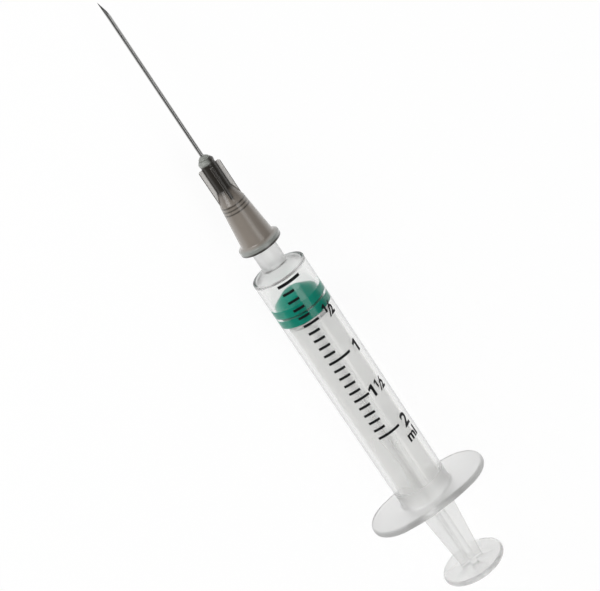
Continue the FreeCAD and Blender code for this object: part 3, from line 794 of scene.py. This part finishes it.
def smoke_plastic():
    """Smoke-tinted brown plastic, with painted shade on the thick core, the socket's ring lines, the rim's rear
    edge and the fins' edges, and painted light on the thin fins and on one side of the tip.
    """
    settings = bpy.context.scene.syringe_needle
    material, tree, shader, output = new_material("smoke_plastic")
    effects = placed(tree, "Moulding", {"Flow Scale": 260.0})
    skirt_front = HUB_HIGH.x - settings.skirt_length
    depth = placed(tree, "Hub Light And Shade Masks", {
        "Axis Height": AXIS, "Core": settings.core, "Skirt": settings.skirt_front,
        "Cone Start": skirt_front - settings.core_cone, "Cone End": skirt_front, "Reach": settings.fin_reach,
        "First Ring": HUB_HIGH.x - settings.seat_length - settings.socket_relief - settings.ring_setback,
        "Ring Pitch": settings.ring_spacing, "Rings": float(settings.steps)})
    ends = placed(tree, "Both Ends", {
        "Front": HUB_LOW.x + settings.tip_length, "Rear": HUB_HIGH.x - settings.rim_thickness - 0.3 * MM,
        "Front Blend": 0.3 * MM, "Rear Blend": 0.3 * MM})["Mask"]
    # Painted shade along the rim's rear edge.
    rim = placed(tree, "Both Ends", {
        "Front": HUB_LOW.x - 1.0, "Rear": HUB_HIGH.x - 0.5 * MM, "Rear Blend": 0.2 * MM})["Mask"]
    sides = object_axes(tree)
    # Painted light: on the tip the grey covers only the side toward -Y, where the key lamp lights it; on the rim's
    # front it goes all the way round.
    behind = ranged(tree, sides["X"], start=HUB_LOW.x + 2 * MM, end=HUB_LOW.x + 3 * MM)
    lit_side_painted_light = ranged(tree, sides["Y"], start=0.6 * MM, end=0.0)
    # Layers over the brown smoke: painted shade on the core, the ring lines and the rim's rear edge, grey on the
    # rim's front, painted light on the tip's lit side and on the fins, and painted shade on the fins' edges.
    dark = settings.dark_smoke
    shade = cloudy(tree, effects["Mask"], settings.smoke, 0.78, 1.2)
    for mask, share, layer in (
            (depth["Thick"], 1.0, dark), (depth["Ring Painted Shade"], RING_SHADE, dark),
            (ends, math_node(tree, "MAXIMUM", behind, lit_side_painted_light), settings.grey_smoke), (rim, RIM_SHADE, dark),
            (depth["Fins"], 1.0, settings.thin_smoke), (depth["Fin Edge Painted Shade"], 1.0, dark)):
        shade = mixed(tree, math_node(tree, "MULTIPLY", mask, share), shade, layer)
    connect(tree, shader, {
        "Base Color": shade, "Roughness": ranged(tree, effects["Mask"], 0.26, 0.4),
        "Normal": bumped(tree, effects["Height"], 0.03),
        "Coat Weight": math_node(tree, "SUBTRACT", 1.0, depth["Thick"]), "Coat Roughness": 0.22,
        "Transmission Weight": 0.28, "IOR": PLASTIC_IOR, "Specular IOR Level": 0.7})
    lets_light_by(tree, shader, output, (0.5, 0.46, 0.43))
    absorbing(tree, output, (0.12, 0.08, 0.04), settings.smoke_density)
    return material


def drawn_steel():
    """Drawn steel with fine lines along the tube, with painted shade darkening its ground point."""
    settings = bpy.context.scene.syringe_needle
    material, tree, shader, _ = new_material("drawn_steel")
    lines = placed(tree, "Drawn Lines", {})["Lines"]
    drawn = cloudy(tree, lines, settings.steel, 0.7, 1.25)
    # Painted shade darkening the ground point, fading out behind it.
    point = placed(tree, "Both Ends", {"Front": CANNULA_LOW.x + GROUND_POINT, "Front Blend": 2.5 * MM})["Mask"]
    connect(tree, shader, {
        "Base Color": mixed(tree, point, drawn, settings.ground_steel),
        "Roughness": ranged(tree, lines, 0.22, 0.45), "Normal": bumped(tree, lines, 0.002), "Metallic": 1.0})
    return material


def cured_glue():
    """Cured glue: glossy, half clear, slightly wavy."""
    glue = bpy.context.scene.syringe_needle.glue
    material, tree, shader, output = new_material("cured_glue")
    effects = placed(tree, "Moulding", {"Flow Scale": 900.0})
    connect(tree, shader, {
        "Base Color": cloudy(tree, effects["Mask"], glue, 0.85, 1.15),
        "Roughness": ranged(tree, effects["Mask"], 0.05, 0.16),
        "Normal": bumped(tree, effects["Height"], 0.01), "Transmission Weight": 0.45, "IOR": 1.5})
    lets_light_by(tree, shader, output, scaled(glue, 0.8))
    return material


def floor_paper(settings):
    """Pale paper that the camera, gloss and clear plastic see as white, and that keeps a soft shadow."""
    material, tree, shader, output = new_material("floor_paper")
    grain = noise(tree, object_place(tree), 60.0, 3.0)
    connect(tree, shader, {
        "Base Color": cloudy(tree, grain, settings.floor, 0.99, 1.01), "Roughness": 0.9, "Specular IOR Level": 0.0})
    white = node(tree, "ShaderNodeEmission", {"Color": WHITE, "Strength": FLOOR_GLOW})
    rays = node(tree, "ShaderNodeLightPath").outputs
    seen = math_node(tree, "MAXIMUM", rays["Is Camera Ray"],
                     math_node(tree, "MAXIMUM", rays["Is Glossy Ray"], rays["Is Transmission Ray"]))
    share = math_node(tree, "MULTIPLY", seen, FLOOR_GLOW_SHARE)
    mix = node(tree, "ShaderNodeMixShader", {0: share, 1: shader.outputs[0], 2: white.outputs[0]})
    tree.links.new(mix.outputs[0], output.inputs["Surface"])
    return material


# Finishing a piece

def dressed(made, body, slot, make_material, *nodes):
    """The piece with its shading and material, riding on its body in place of CAD nodes."""
    made.data.materials.clear()
    made.data.materials.append(found_material(make_material))
    made.data.shade_smooth()
    made.data.set_sharp_from_angle(angle=SHARP_ANGLE)
    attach(made, body)
    if nodes:
        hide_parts(*nodes)
    return made


def found_material(make):
    """The material that this function makes, made when it is first asked for."""
    return bpy.data.materials.get(make.__name__) or make()


# Pieces

def flange_reach(settings):
    """The distance from the axis to the flange's outline, by angle: round ends, crowned sides, small flats."""
    end = settings.flange_end
    half_width = BARREL_HIGH.z - AXIS
    crown = half_width + settings.flange_crown
    middle = BARREL_HIGH.y - end
    side = (middle ** 2 + crown ** 2 - end ** 2) / (2 * (crown - end))
    drop = side - crown
    toward = Vector((middle, drop)).normalized()
    meet = middle + toward.x * end

    def reach(turn):
        across = abs(math.cos(turn))
        up = abs(math.sin(turn))
        far = math.sqrt(side ** 2 - (drop * across) ** 2) - drop * up
        if far * across > meet:
            return middle * across + math.sqrt(end ** 2 - (middle * up) ** 2)
        return min(far, half_width / up) if up else far
    return reach


def barrel_outline(settings):
    """The barrel's closed outline, outside from the nozzle's tip to the flange and back through the bore."""
    tube = settings.bore + settings.wall
    rear = BARREL_HIGH.x
    front = rear - settings.flange_thickness
    tip = BARREL_LOW.x
    root = ZERO - settings.shoulder_length
    collar_front = HUB_HIGH.x + settings.collar_gap
    cone_end = settings.nozzle_tip + settings.cone_slope * (collar_front - tip)
    flange = BARREL_HIGH.z - AXIS
    bead_rear = rear - settings.bead_inset
    bore_front = ZERO - settings.shoulder_corner + settings.wall
    return rounded([
        (tip, settings.nozzle_bore, 0.12 * MM),
        (tip, settings.nozzle_tip, 0.15 * MM),
        (collar_front, cone_end, 0.0),
        (collar_front, settings.collar, 0.08 * MM),
        (root, settings.collar, settings.neck_flare),
        (ZERO - settings.shoulder_corner, tube, settings.shoulder_round),
        (front, tube, 0.45 * MM),
        (front, flange, settings.flange_round),
        (rear, flange, settings.flange_round),
        (rear, settings.bore, 0.25 * MM),
        (bead_rear, settings.bore, 0.6 * MM),
        (bead_rear - settings.bead_width / 2, settings.bore - settings.bead_height, 0.3 * MM),
        (bead_rear - settings.bead_width, settings.bore, 0.6 * MM),
        (bore_front, settings.bore, 0.4 * MM),
        (root, settings.nozzle_bore, 0.15 * MM),
    ])


def make_barrel(settings):
    """The clear barrel: a turned shell whose flange rows follow the flange's outline."""
    outline_at = flange_reach(settings)
    flange = BARREL_HIGH.z - AXIS
    inner = settings.bore + settings.wall + 0.6 * MM
    outer = flange - settings.flange_round - HOLD

    def reach(radius, turn):
        share = min(1.0, max(0.0, (radius - inner) / (outer - inner)))
        return radius + share * (outline_at(turn) - flange)

    made = turned("barrel_shell", barrel_outline(settings), reach=reach)
    dressed(made, "barrel", "barrel_plastic", clear_plastic, "barrel")


def make_scale(settings):
    """The scale's lines, laid on the tube."""
    made = grown("scale_lines", scale_tree(found_material(printed_ink)), {
        "Count": settings.line_count, "First Place": ZERO, "Pitch": settings.line_pitch,
        "Width": settings.line_width, "Zero Width": settings.zero_width, "Short": settings.short_line,
        "Half": settings.half_line, "Whole": settings.whole_line, "Thickness": settings.ink_thickness,
        "Radius": settings.bore + settings.wall, "Start": settings.line_start, "Axis Height": AXIS})
    dressed(made, "barrel", "black_ink", printed_ink, "graduation_marks")


# One half as (kind, across, up, share): a raised one, the bar and a lowered two.
HALF = (("1", 0.0, 0.32, 0.66), ("/", 0.17, 0.04, 0.94), ("2", 0.36, 0.06, 0.64))
GLYPHS = {
    "1": ((0.18, 0.0), (0.34, 0.0), (0.34, 0.72), (0.23, 0.72), (0.02, 0.58), (0.02, 0.43), (0.18, 0.52)),
    "/": ((0.0, -0.02), (0.1, -0.02), (0.49, 0.72), (0.39, 0.72)),
}


def glyph(kind, share):
    """A flat figure: a one with a flag or a fraction's bar from its outline, or built-in lettering."""
    if kind not in GLYPHS:
        return lettering(kind, GLYPH_WEIGHT / share)
    shape = bmesh.new()
    shape.faces.new([shape.verts.new((across, up, 0.0)) for across, up in GLYPHS[kind]])
    return plain_mesh("glyph", shape)


def make_numerals(settings):
    """The scale's numerals and its unit, upright when the needle points up."""
    radius = settings.bore + settings.wall
    tenth = settings.line_pitch
    # Line of the scale, start in degrees from the top, drop in mm, size in mm, and figures
    labels = [
        (5, 22.8, -0.3, 3.7, HALF),
        (10, 36.6, -0.3, 3.5, (("1", 0.0, 0.0, 1.0),)),
        (15, 9.0, -0.2, 3.4, (("1", 0.0, 0.0, 1.0),) + tuple(
            (kind, across + 0.48, up - 0.06, size) for kind, across, up, size in HALF)),
        (20, 33.7, -0.21, 3.7, (("2", 0.0, 0.0, 1.0),)),
        (20, 24.0, -3.2, 2.9, (("ml", 0.0, 0.0, 1.0),)),
    ]
    page = bmesh.new()
    for line, start, drop, size, glyphs in labels:
        for kind, across, up, share in glyphs:
            mesh = glyph(kind, share)
            scale = size * MM
            along = ZERO + line * tenth + (GLYPH_MIDDLE - up) * scale - drop * MM
            place = Matrix(((0.0, -scale * share, 0.0, along),
                            (scale * share, 0.0, 0.0, across * scale + math.radians(start) * radius),
                            (0.0, 0.0, 1.0, 0.0),
                            (0.0, 0.0, 0.0, 1.0)))
            mesh.transform(place)
            page.from_mesh(mesh)
            bpy.data.meshes.remove(mesh)
    bmesh.ops.remove_doubles(page, verts=page.verts, dist=1e-6)
    low = min(vertex.co.y for vertex in page.verts)
    high = max(vertex.co.y for vertex in page.verts)
    for step in range(1, NUMERAL_STRIPS):
        place = low + (high - low) * step / NUMERAL_STRIPS
        everything = page.verts[:] + page.edges[:] + page.faces[:]
        bmesh.ops.bisect_plane(page, geom=everything, plane_co=(0, place, 0), plane_no=(0, 1, 0), dist=WELD)
    for face in page.faces:
        if face.normal.z < 0:
            face.normal_flip()
    made = grown("numerals", print_tree(found_material(printed_ink)), {
        "Thickness": settings.ink_thickness, "Radius": radius, "Start": 0.0, "Axis Height": AXIS},
        plain_mesh("numerals", page))
    dressed(made, "barrel", "black_ink", printed_ink)


def make_stopper(settings):
    """The rubber stopper: blunt nose, two round-edged rings and the socket behind."""
    bore = bpy.context.scene.syringe_barrel.bore
    ring = bore + settings.squeeze
    waist = ring - settings.waist
    front = STOPPER_LOW.x + settings.nose_height + settings.ring_width / 2
    half = settings.ring_width / 2
    flank = settings.ring_flank
    rear = front + settings.ring_pitch
    back = STOPPER_HIGH.x
    bottom = back - settings.socket_depth
    lip = back - settings.socket_lip
    edge = 0.1 * MM
    made = turned_solid("stopper_rubber", [
        (STOPPER_LOW.x, 0.0, 0.0),
        (STOPPER_LOW.x, settings.nose, 0.6 * MM),
        (front - half, ring - settings.brow, 0.05 * MM),
        (front - half + flank, ring, edge),
        (front + half, ring, edge),
        (front + half, waist, edge),
        (rear - half, waist, edge),
        (rear - half, ring, edge),
        (back - flank, ring, edge),
        (back, waist, edge),
        (back, settings.socket_mouth, 0.12 * MM),
        (lip, settings.socket_mouth, 0.1 * MM),
        (lip, settings.socket, 0.0),
        (lip - settings.head_gap, settings.socket, 0.0),
        (bottom, settings.head_tip + settings.head_gap, 0.2 * MM),
        (bottom, 0.0, 0.0),
    ])
    dressed(made, "stopper", "stopper_rubber", oiled_rubber, "stopper")


def rod_ribs(settings, disc_front, pad_front):
    """Four crossed ribs, straight and then narrowing to the pad, with round corners and flared roots."""
    half_thickness = settings.rib_thickness / 2
    start = disc_front + settings.disc_thickness
    taper = pad_front - settings.rib_taper
    flare = settings.rib_flare
    steps = 5
    stations = [disc_front + settings.disc_thickness / 2, start]
    stations += [start + flare * step / steps for step in range(1, steps + 1)]
    stations += [start + flare + HOLD, taper - HOLD, taper, taper + HOLD, pad_front - flare - HOLD]
    stations += [pad_front - flare * (steps - step) / steps for step in range(steps + 1)]
    stations.append(pad_front + settings.pad_thickness / 2)
    shape = bmesh.new()
    rows = []
    for place in stations:
        share = min(1.0, max(0.0, (place - taper) / (pad_front - taper)))
        half_width = settings.rib + share * (settings.rib_end - settings.rib)
        near = min(abs(place - start), abs(pad_front - place), flare)
        if place < start or place > pad_front:
            near = 0.0
        swell = flare - math.sqrt(flare ** 2 - (flare - near) ** 2)
        outward = swell if place > taper else 0.0
        section = plus_section(half_width + outward, half_thickness + swell, 0.22 * MM, 0.3 * MM)
        rows.append([shape.verts.new((place, across, AXIS + up)) for across, up in section])
    skinned(shape, rows)
    shape.faces.new(rows[0])
    shape.faces.new(rows[-1])
    return mesh_object("ribs", shape)


def make_rod(settings):
    """The plunger rod: barbed head and disc, crossed ribs and thumb pad, in one moulding."""
    disc_front = STOPPER_HIGH.x + settings.head_gap
    pad_front = ROD_HIGH.x - settings.pad_thickness
    tip = STOPPER_HIGH.x - settings.socket_depth + settings.head_gap
    barb = STOPPER_HIGH.x - settings.socket_lip - settings.head_gap
    neck = settings.socket_mouth - settings.head_gap
    disc_rear = disc_front + settings.disc_thickness
    made = turned_solid("plunger_rod_moulding", [
        (tip, 0.0, 0.0),
        (tip, settings.head_tip, 0.2 * MM),
        (barb, settings.socket - settings.head_gap, 0.06 * MM),
        (barb, neck, 0.1 * MM),
        (disc_front, neck, 0.08 * MM),
        (disc_front, settings.disc, 0.2 * MM),
        (disc_rear, settings.disc, 0.2 * MM),
        (disc_rear, 0.0, 0.0),
    ])
    pad = turned_solid("pad", [
        (pad_front, 0.0, 0.0),
        (pad_front, ROD_HIGH.z - AXIS, settings.pad_round),
        (ROD_HIGH.x, ROD_HIGH.z - AXIS, settings.pad_round),
        (ROD_HIGH.x, 0.0, 0.0),
    ])
    combined(made, rod_ribs(settings, disc_front, pad_front), "UNION")
    combined(made, pad, "UNION")
    dressed(made, "rod", "rod_plastic", milky_plastic, "plunger_rod")


def hub_socket(settings):
    """The room inside the hub: nozzle seat, stepped rings, funnel, tube hole and glue well."""
    barrel = bpy.context.scene.syringe_barrel
    floor = HUB_HIGH.x - settings.seat_length - settings.socket_relief
    mouth = barrel.nozzle_tip + barrel.cone_slope * settings.seat_length + settings.hub_gap
    floor_radius = barrel.nozzle_tip - barrel.cone_slope * settings.socket_relief + settings.hub_gap
    hole = settings.tube + settings.tube_gap
    well_end = HUB_LOW.x + settings.well_depth
    outside = 1.0 * MM
    corners = [
        (HUB_HIGH.x + outside, 0.0, 0.0),
        (HUB_HIGH.x + outside, mouth + barrel.cone_slope * outside, 0.0),
        (floor, floor_radius, 0.08 * MM),
    ]
    for step in range(1, settings.steps + 1):
        radius = floor_radius - step * settings.step_depth
        corners.append((floor - (step - 1) * settings.step_length, radius, 0.05 * MM))
        corners.append((floor - step * settings.step_length, radius, 0.05 * MM))
    corners += [
        (floor - settings.steps * settings.step_length - settings.funnel, hole, 0.0),
        (well_end, hole, 0.0),
        (well_end, settings.well, 0.0),
        (HUB_LOW.x - outside, settings.well, 0.0),
        (HUB_LOW.x - outside, 0.0, 0.0),
    ]
    return turned_solid("socket", corners, steps=3, segments=96)


def make_hub(settings):
    """The smoke-tinted hub: rim, skirt, slim core with fins and a blunt tip, hollow inside."""
    rear = HUB_HIGH.x
    tip = HUB_LOW.x
    rim = HUB_HIGH.z - AXIS
    skirt_front = rear - settings.skirt_length
    made = turned_solid("needle_hub_moulding", [
        (tip, 0.0, 0.0),
        (tip, settings.tip_face, 0.1 * MM),
        (tip + settings.tip_nose, settings.tip_bulge, 0.5 * MM),
        (tip + settings.tip_length, settings.core, 0.3 * MM),
        (skirt_front - settings.core_cone, settings.core, 0.8 * MM),
        (skirt_front, settings.skirt_front, 0.5 * MM),
        (rear - settings.rim_thickness - settings.rim_flare, settings.skirt_rear, 0.4 * MM),
        (rear - settings.rim_thickness, rim, settings.rim_round),
        (rear, rim, settings.rim_round),
        (rear, 0.0, 0.0),
    ])
    inner = settings.core / 2
    front = tip + settings.fin_setback
    length_of_fin = skirt_front - front + settings.fin_round
    fins = grown("fins", fin_tree(found_material(smoke_plastic)), {
        "Count": settings.fins, "Length": length_of_fin, "Height": settings.fin_reach - inner,
        "Thickness": settings.fin_thickness, "Corner": settings.fin_round,
        "Middle": (front + length_of_fin / 2, (settings.fin_reach + inner) / 2, -settings.fin_thickness / 2),
        "Axis Height": AXIS})
    edges = fins.modifiers.new("Edges", "BEVEL")
    edges.width = 0.12 * MM
    edges.segments = 2
    edges.limit_method = "ANGLE"
    settled(fins)
    combined(made, fins, "UNION")
    combined(made, hub_socket(settings), "DIFFERENCE")
    dressed(made, "needle", "hub_plastic", smoke_plastic, "needle_hub")


def ground_facet(settings, name, start, run, turn):
    """A block whose slanting underside grinds one facet of the point."""
    tip = CANNULA_LOW.x
    radius = settings.tube
    before = 2 * radius
    slope = (radius - start) / run
    end = run * 1.2
    corners = [(tip - before, start - slope * before), (tip + end, start + slope * end),
               (tip + end, 6 * radius), (tip - before, 6 * radius)]
    shape = bmesh.new()
    sides = []
    for across in (-4 * radius, 4 * radius):
        sides.append([shape.verts.new((place, off, across)) for place, off in corners])
    shape.faces.new(sides[0])
    shape.faces.new(sides[1])
    skinned(shape, sides)
    made = mesh_object(name, shape)
    made.data.transform(Matrix.Rotation(settings.bevel_turn + turn, 4, "X"))
    made.data.transform(Matrix.Translation((0.0, 0.0, AXIS)))
    return made


def make_tube(settings):
    """The steel tube, ground at its tip to a long bevel with two lancet facets."""
    made = turned("needle_tube", held([
        (CANNULA_LOW.x, settings.tube_bore),
        (CANNULA_LOW.x, settings.tube),
        (CANNULA_HIGH.x, settings.tube),
        (CANNULA_HIGH.x, settings.tube_bore),
    ], True), segments=NEEDLE_SEGMENTS)
    combined(made, ground_facet(settings, "bevel", -settings.tube, settings.bevel, 0.0), "DIFFERENCE")
    start = -settings.tube * math.cos(settings.lancet_turn)
    for side in (-1, 1):
        block = ground_facet(settings, "lancet", start, settings.lancet, side * settings.lancet_turn)
        combined(made, block, "DIFFERENCE")
    dressed(made, "needle", "needle_steel", drawn_steel, "needle_cannula")


def make_glue(settings):
    """The glue that fills the hub's well and climbs the tube in a small bead."""
    rise = HUB_LOW.x - GLUE_LOW.x
    made = turned("glue_bead", rounded([
        (GLUE_HIGH.x, settings.tube, 0.0),
        (GLUE_HIGH.x, settings.well, 0.0),
        (HUB_LOW.x, settings.well, 0.0),
        (HUB_LOW.x, settings.bead, 0.1 * MM),
        (HUB_LOW.x - rise * 0.5, settings.bead * 0.86, 0.25 * MM),
        (GLUE_LOW.x, settings.bead_top, 0.05 * MM),
        (GLUE_LOW.x, settings.tube, 0.0),
    ]), segments=NEEDLE_SEGMENTS)
    dressed(made, "needle", "needle_glue", cured_glue, "needle_adhesive")


# The stage

def make_camera(settings):
    """The camera, aimed down at the syringe as in the picture."""
    along = Vector((1.0, 0.0, 0.0))
    normal = Vector((0.0, -math.sin(settings.lean), math.cos(settings.lean)))
    side = Vector((0.0, math.cos(settings.lean), math.sin(settings.lean)))
    up_the_axis = along * math.cos(settings.tilt) + normal * math.sin(settings.tilt)
    backward = normal * math.cos(settings.tilt) - along * math.sin(settings.tilt)
    right = up_the_axis * math.sin(settings.roll) + side * math.cos(settings.roll)
    up = side * math.sin(settings.roll) - up_the_axis * math.cos(settings.roll)
    aim = Vector((ZERO + settings.zero_to_aim, 0.0, AXIS)) + side * settings.side_step
    camera = linked("camera", bpy.data.cameras.new("camera"))
    camera.data.lens = settings.focal
    camera.data.sensor_fit = "HORIZONTAL"
    camera.data.clip_start = 0.01
    camera.matrix_world = Matrix.Translation(aim + backward * settings.distance) @ Matrix(
        (right, up, backward)).transposed().to_4x4()
    bpy.context.scene.camera = camera


def make_lamp(name, place, aim, size, power):
    """A soft rectangular lamp at a place, facing its aim, with its first side along the syringe."""
    data = bpy.data.lights.new(name, "AREA")
    data.shape = "RECTANGLE"
    data.size, data.size_y = size
    data.energy = power
    lamp = linked(name, data)
    back = (Vector(place) - Vector(aim)).normalized()
    side = back.cross(Vector((1.0, 0.0, 0.0))).normalized()
    lamp.matrix_world = Matrix.Translation(place) @ Matrix((side.cross(back), side, back)).transposed().to_4x4()


def make_world(settings):
    """A soft room that the camera sees as white; in gloss its walls are bright and its ceiling is dim."""
    world = bpy.data.worlds.new("room")
    world.use_nodes = True
    tree = world.node_tree
    tree.nodes.clear()
    rays = node(tree, "ShaderNodeLightPath").outputs
    direction = node(tree, "ShaderNodeTexCoord").outputs["Generated"]
    up = node(tree, "ShaderNodeSeparateXYZ", {0: direction}).outputs["Z"]
    strength = node(tree, "ShaderNodeMix", {
        "Factor": rays["Is Transmission Ray"], "A": ranged(tree, up, settings.horizon, settings.ceiling, 0.0, 0.3),
        "B": ranged(tree, up, HORIZON_THROUGH_PLASTIC, settings.skylight, 0.0, 0.6)}, data_type="FLOAT").outputs[0]
    room, seen, white = (
        node(tree, "ShaderNodeBackground", {"Color": WHITE, "Strength": value}).outputs[0]
        for value in (settings.surroundings, strength, 1.0))
    in_gloss = math_node(tree, "MAXIMUM", rays["Is Glossy Ray"], rays["Is Transmission Ray"])
    glossy = node(tree, "ShaderNodeMixShader", {0: in_gloss, 1: room, 2: seen}).outputs[0]
    mix = node(tree, "ShaderNodeMixShader", {0: rays["Is Camera Ray"], 1: glossy, 2: white})
    node(tree, "ShaderNodeOutputWorld", {"Surface": mix.outputs[0]})
    bpy.context.scene.world = world


def make_stage(settings):
    """The floor, the lamps, the room and the camera."""
    shape = bmesh.new()
    bmesh.ops.create_grid(shape, x_segments=1, y_segments=1, size=FLOOR_HALF_SIZE)
    floor = mesh_object("floor", shape)
    floor.data.materials.append(floor_paper(settings))
    centre = (0.0, 0.0, AXIS)
    make_lamp("softbox", (0.18, 0.13, 0.48), centre, (0.7, 0.24), 0.65)
    make_lamp("key_lamp", (-0.34, -0.40, 0.30), centre, (0.35, 0.35), 1.45)
    make_world(settings)
    make_camera(settings)
    bpy.context.scene.view_settings.view_transform = "Standard"


# Operators, panel and registration

class SYRINGE_OT_barrel(bpy.types.Operator):
    """Make the clear barrel with its nozzle, shoulder and finger flange."""
    bl_idname = "syringe.barrel"
    bl_label = "Barrel"

    def execute(self, context):
        make_barrel(context.scene.syringe_barrel)
        return {"FINISHED"}


class SYRINGE_OT_scale(bpy.types.Operator):
    """Print the scale's lines and numerals on the tube."""
    bl_idname = "syringe.scale"
    bl_label = "Scale"

    def execute(self, context):
        make_scale(context.scene.syringe_barrel)
        make_numerals(context.scene.syringe_barrel)
        return {"FINISHED"}


class SYRINGE_OT_stopper(bpy.types.Operator):
    """Make the rubber stopper."""
    bl_idname = "syringe.stopper"
    bl_label = "Stopper"

    def execute(self, context):
        make_stopper(context.scene.syringe_plunger)
        return {"FINISHED"}


class SYRINGE_OT_rod(bpy.types.Operator):
    """Make the plunger rod."""
    bl_idname = "syringe.rod"
    bl_label = "Plunger rod"

    def execute(self, context):
        make_rod(context.scene.syringe_plunger)
        return {"FINISHED"}


class SYRINGE_OT_hub(bpy.types.Operator):
    """Make the smoke-tinted hub."""
    bl_idname = "syringe.hub"
    bl_label = "Needle hub"

    def execute(self, context):
        make_hub(context.scene.syringe_needle)
        return {"FINISHED"}


class SYRINGE_OT_needle(bpy.types.Operator):
    """Make the steel tube and the glue that holds it."""
    bl_idname = "syringe.needle"
    bl_label = "Needle tube and glue"

    def execute(self, context):
        make_tube(context.scene.syringe_needle)
        make_glue(context.scene.syringe_needle)
        return {"FINISHED"}


class SYRINGE_OT_stage(bpy.types.Operator):
    """Set up the floor, the lamps and the camera."""
    bl_idname = "syringe.stage"
    bl_label = "Stage"

    def execute(self, context):
        make_stage(context.scene.syringe_stage)
        return {"FINISHED"}


OPERATORS = (SYRINGE_OT_barrel, SYRINGE_OT_scale, SYRINGE_OT_stopper, SYRINGE_OT_rod, SYRINGE_OT_hub,
             SYRINGE_OT_needle, SYRINGE_OT_stage)
SETTINGS = {
    "syringe_barrel": SyringeBarrelSettings,
    "syringe_plunger": SyringePlungerSettings,
    "syringe_needle": SyringeNeedleSettings,
    "syringe_stage": SyringeStageSettings,
}


class SYRINGE_PT_panel(bpy.types.Panel):
    """Lists the pieces of the syringe."""
    bl_label = "Syringe"
    bl_idname = "SYRINGE_PT_panel"
    bl_space_type = "VIEW_3D"
    bl_region_type = "UI"
    bl_category = "Syringe"

    def draw(self, context):
        for operator in OPERATORS:
            self.layout.operator(operator.bl_idname)
        for name, group in SETTINGS.items():
            box = self.layout.box()
            box.label(text=group.__doc__)
            for label in group.__annotations__:
                box.prop(getattr(context.scene, name), label)


def register():
    """Add the settings, the operators and the panel."""
    for name, group in SETTINGS.items():
        bpy.utils.register_class(group)
        setattr(bpy.types.Scene, name, PointerProperty(type=group))
    for operator in OPERATORS:
        bpy.utils.register_class(operator)
    bpy.utils.register_class(SYRINGE_PT_panel)


def unregister():
    """Take the settings, the operators and the panel away."""
    bpy.utils.unregister_class(SYRINGE_PT_panel)
    for operator in reversed(OPERATORS):
        bpy.utils.unregister_class(operator)
    for name, group in SETTINGS.items():
        delattr(bpy.types.Scene, name)
        bpy.utils.unregister_class(group)


def main():
    """Build every piece and the stage."""
    register()
    bpy.ops.syringe.stage()
    bpy.ops.syringe.barrel()
    bpy.ops.syringe.scale()
    bpy.ops.syringe.stopper()
    bpy.ops.syringe.rod()
    bpy.ops.syringe.hub()
    bpy.ops.syringe.needle()


if __name__ == "__main__":
    main()
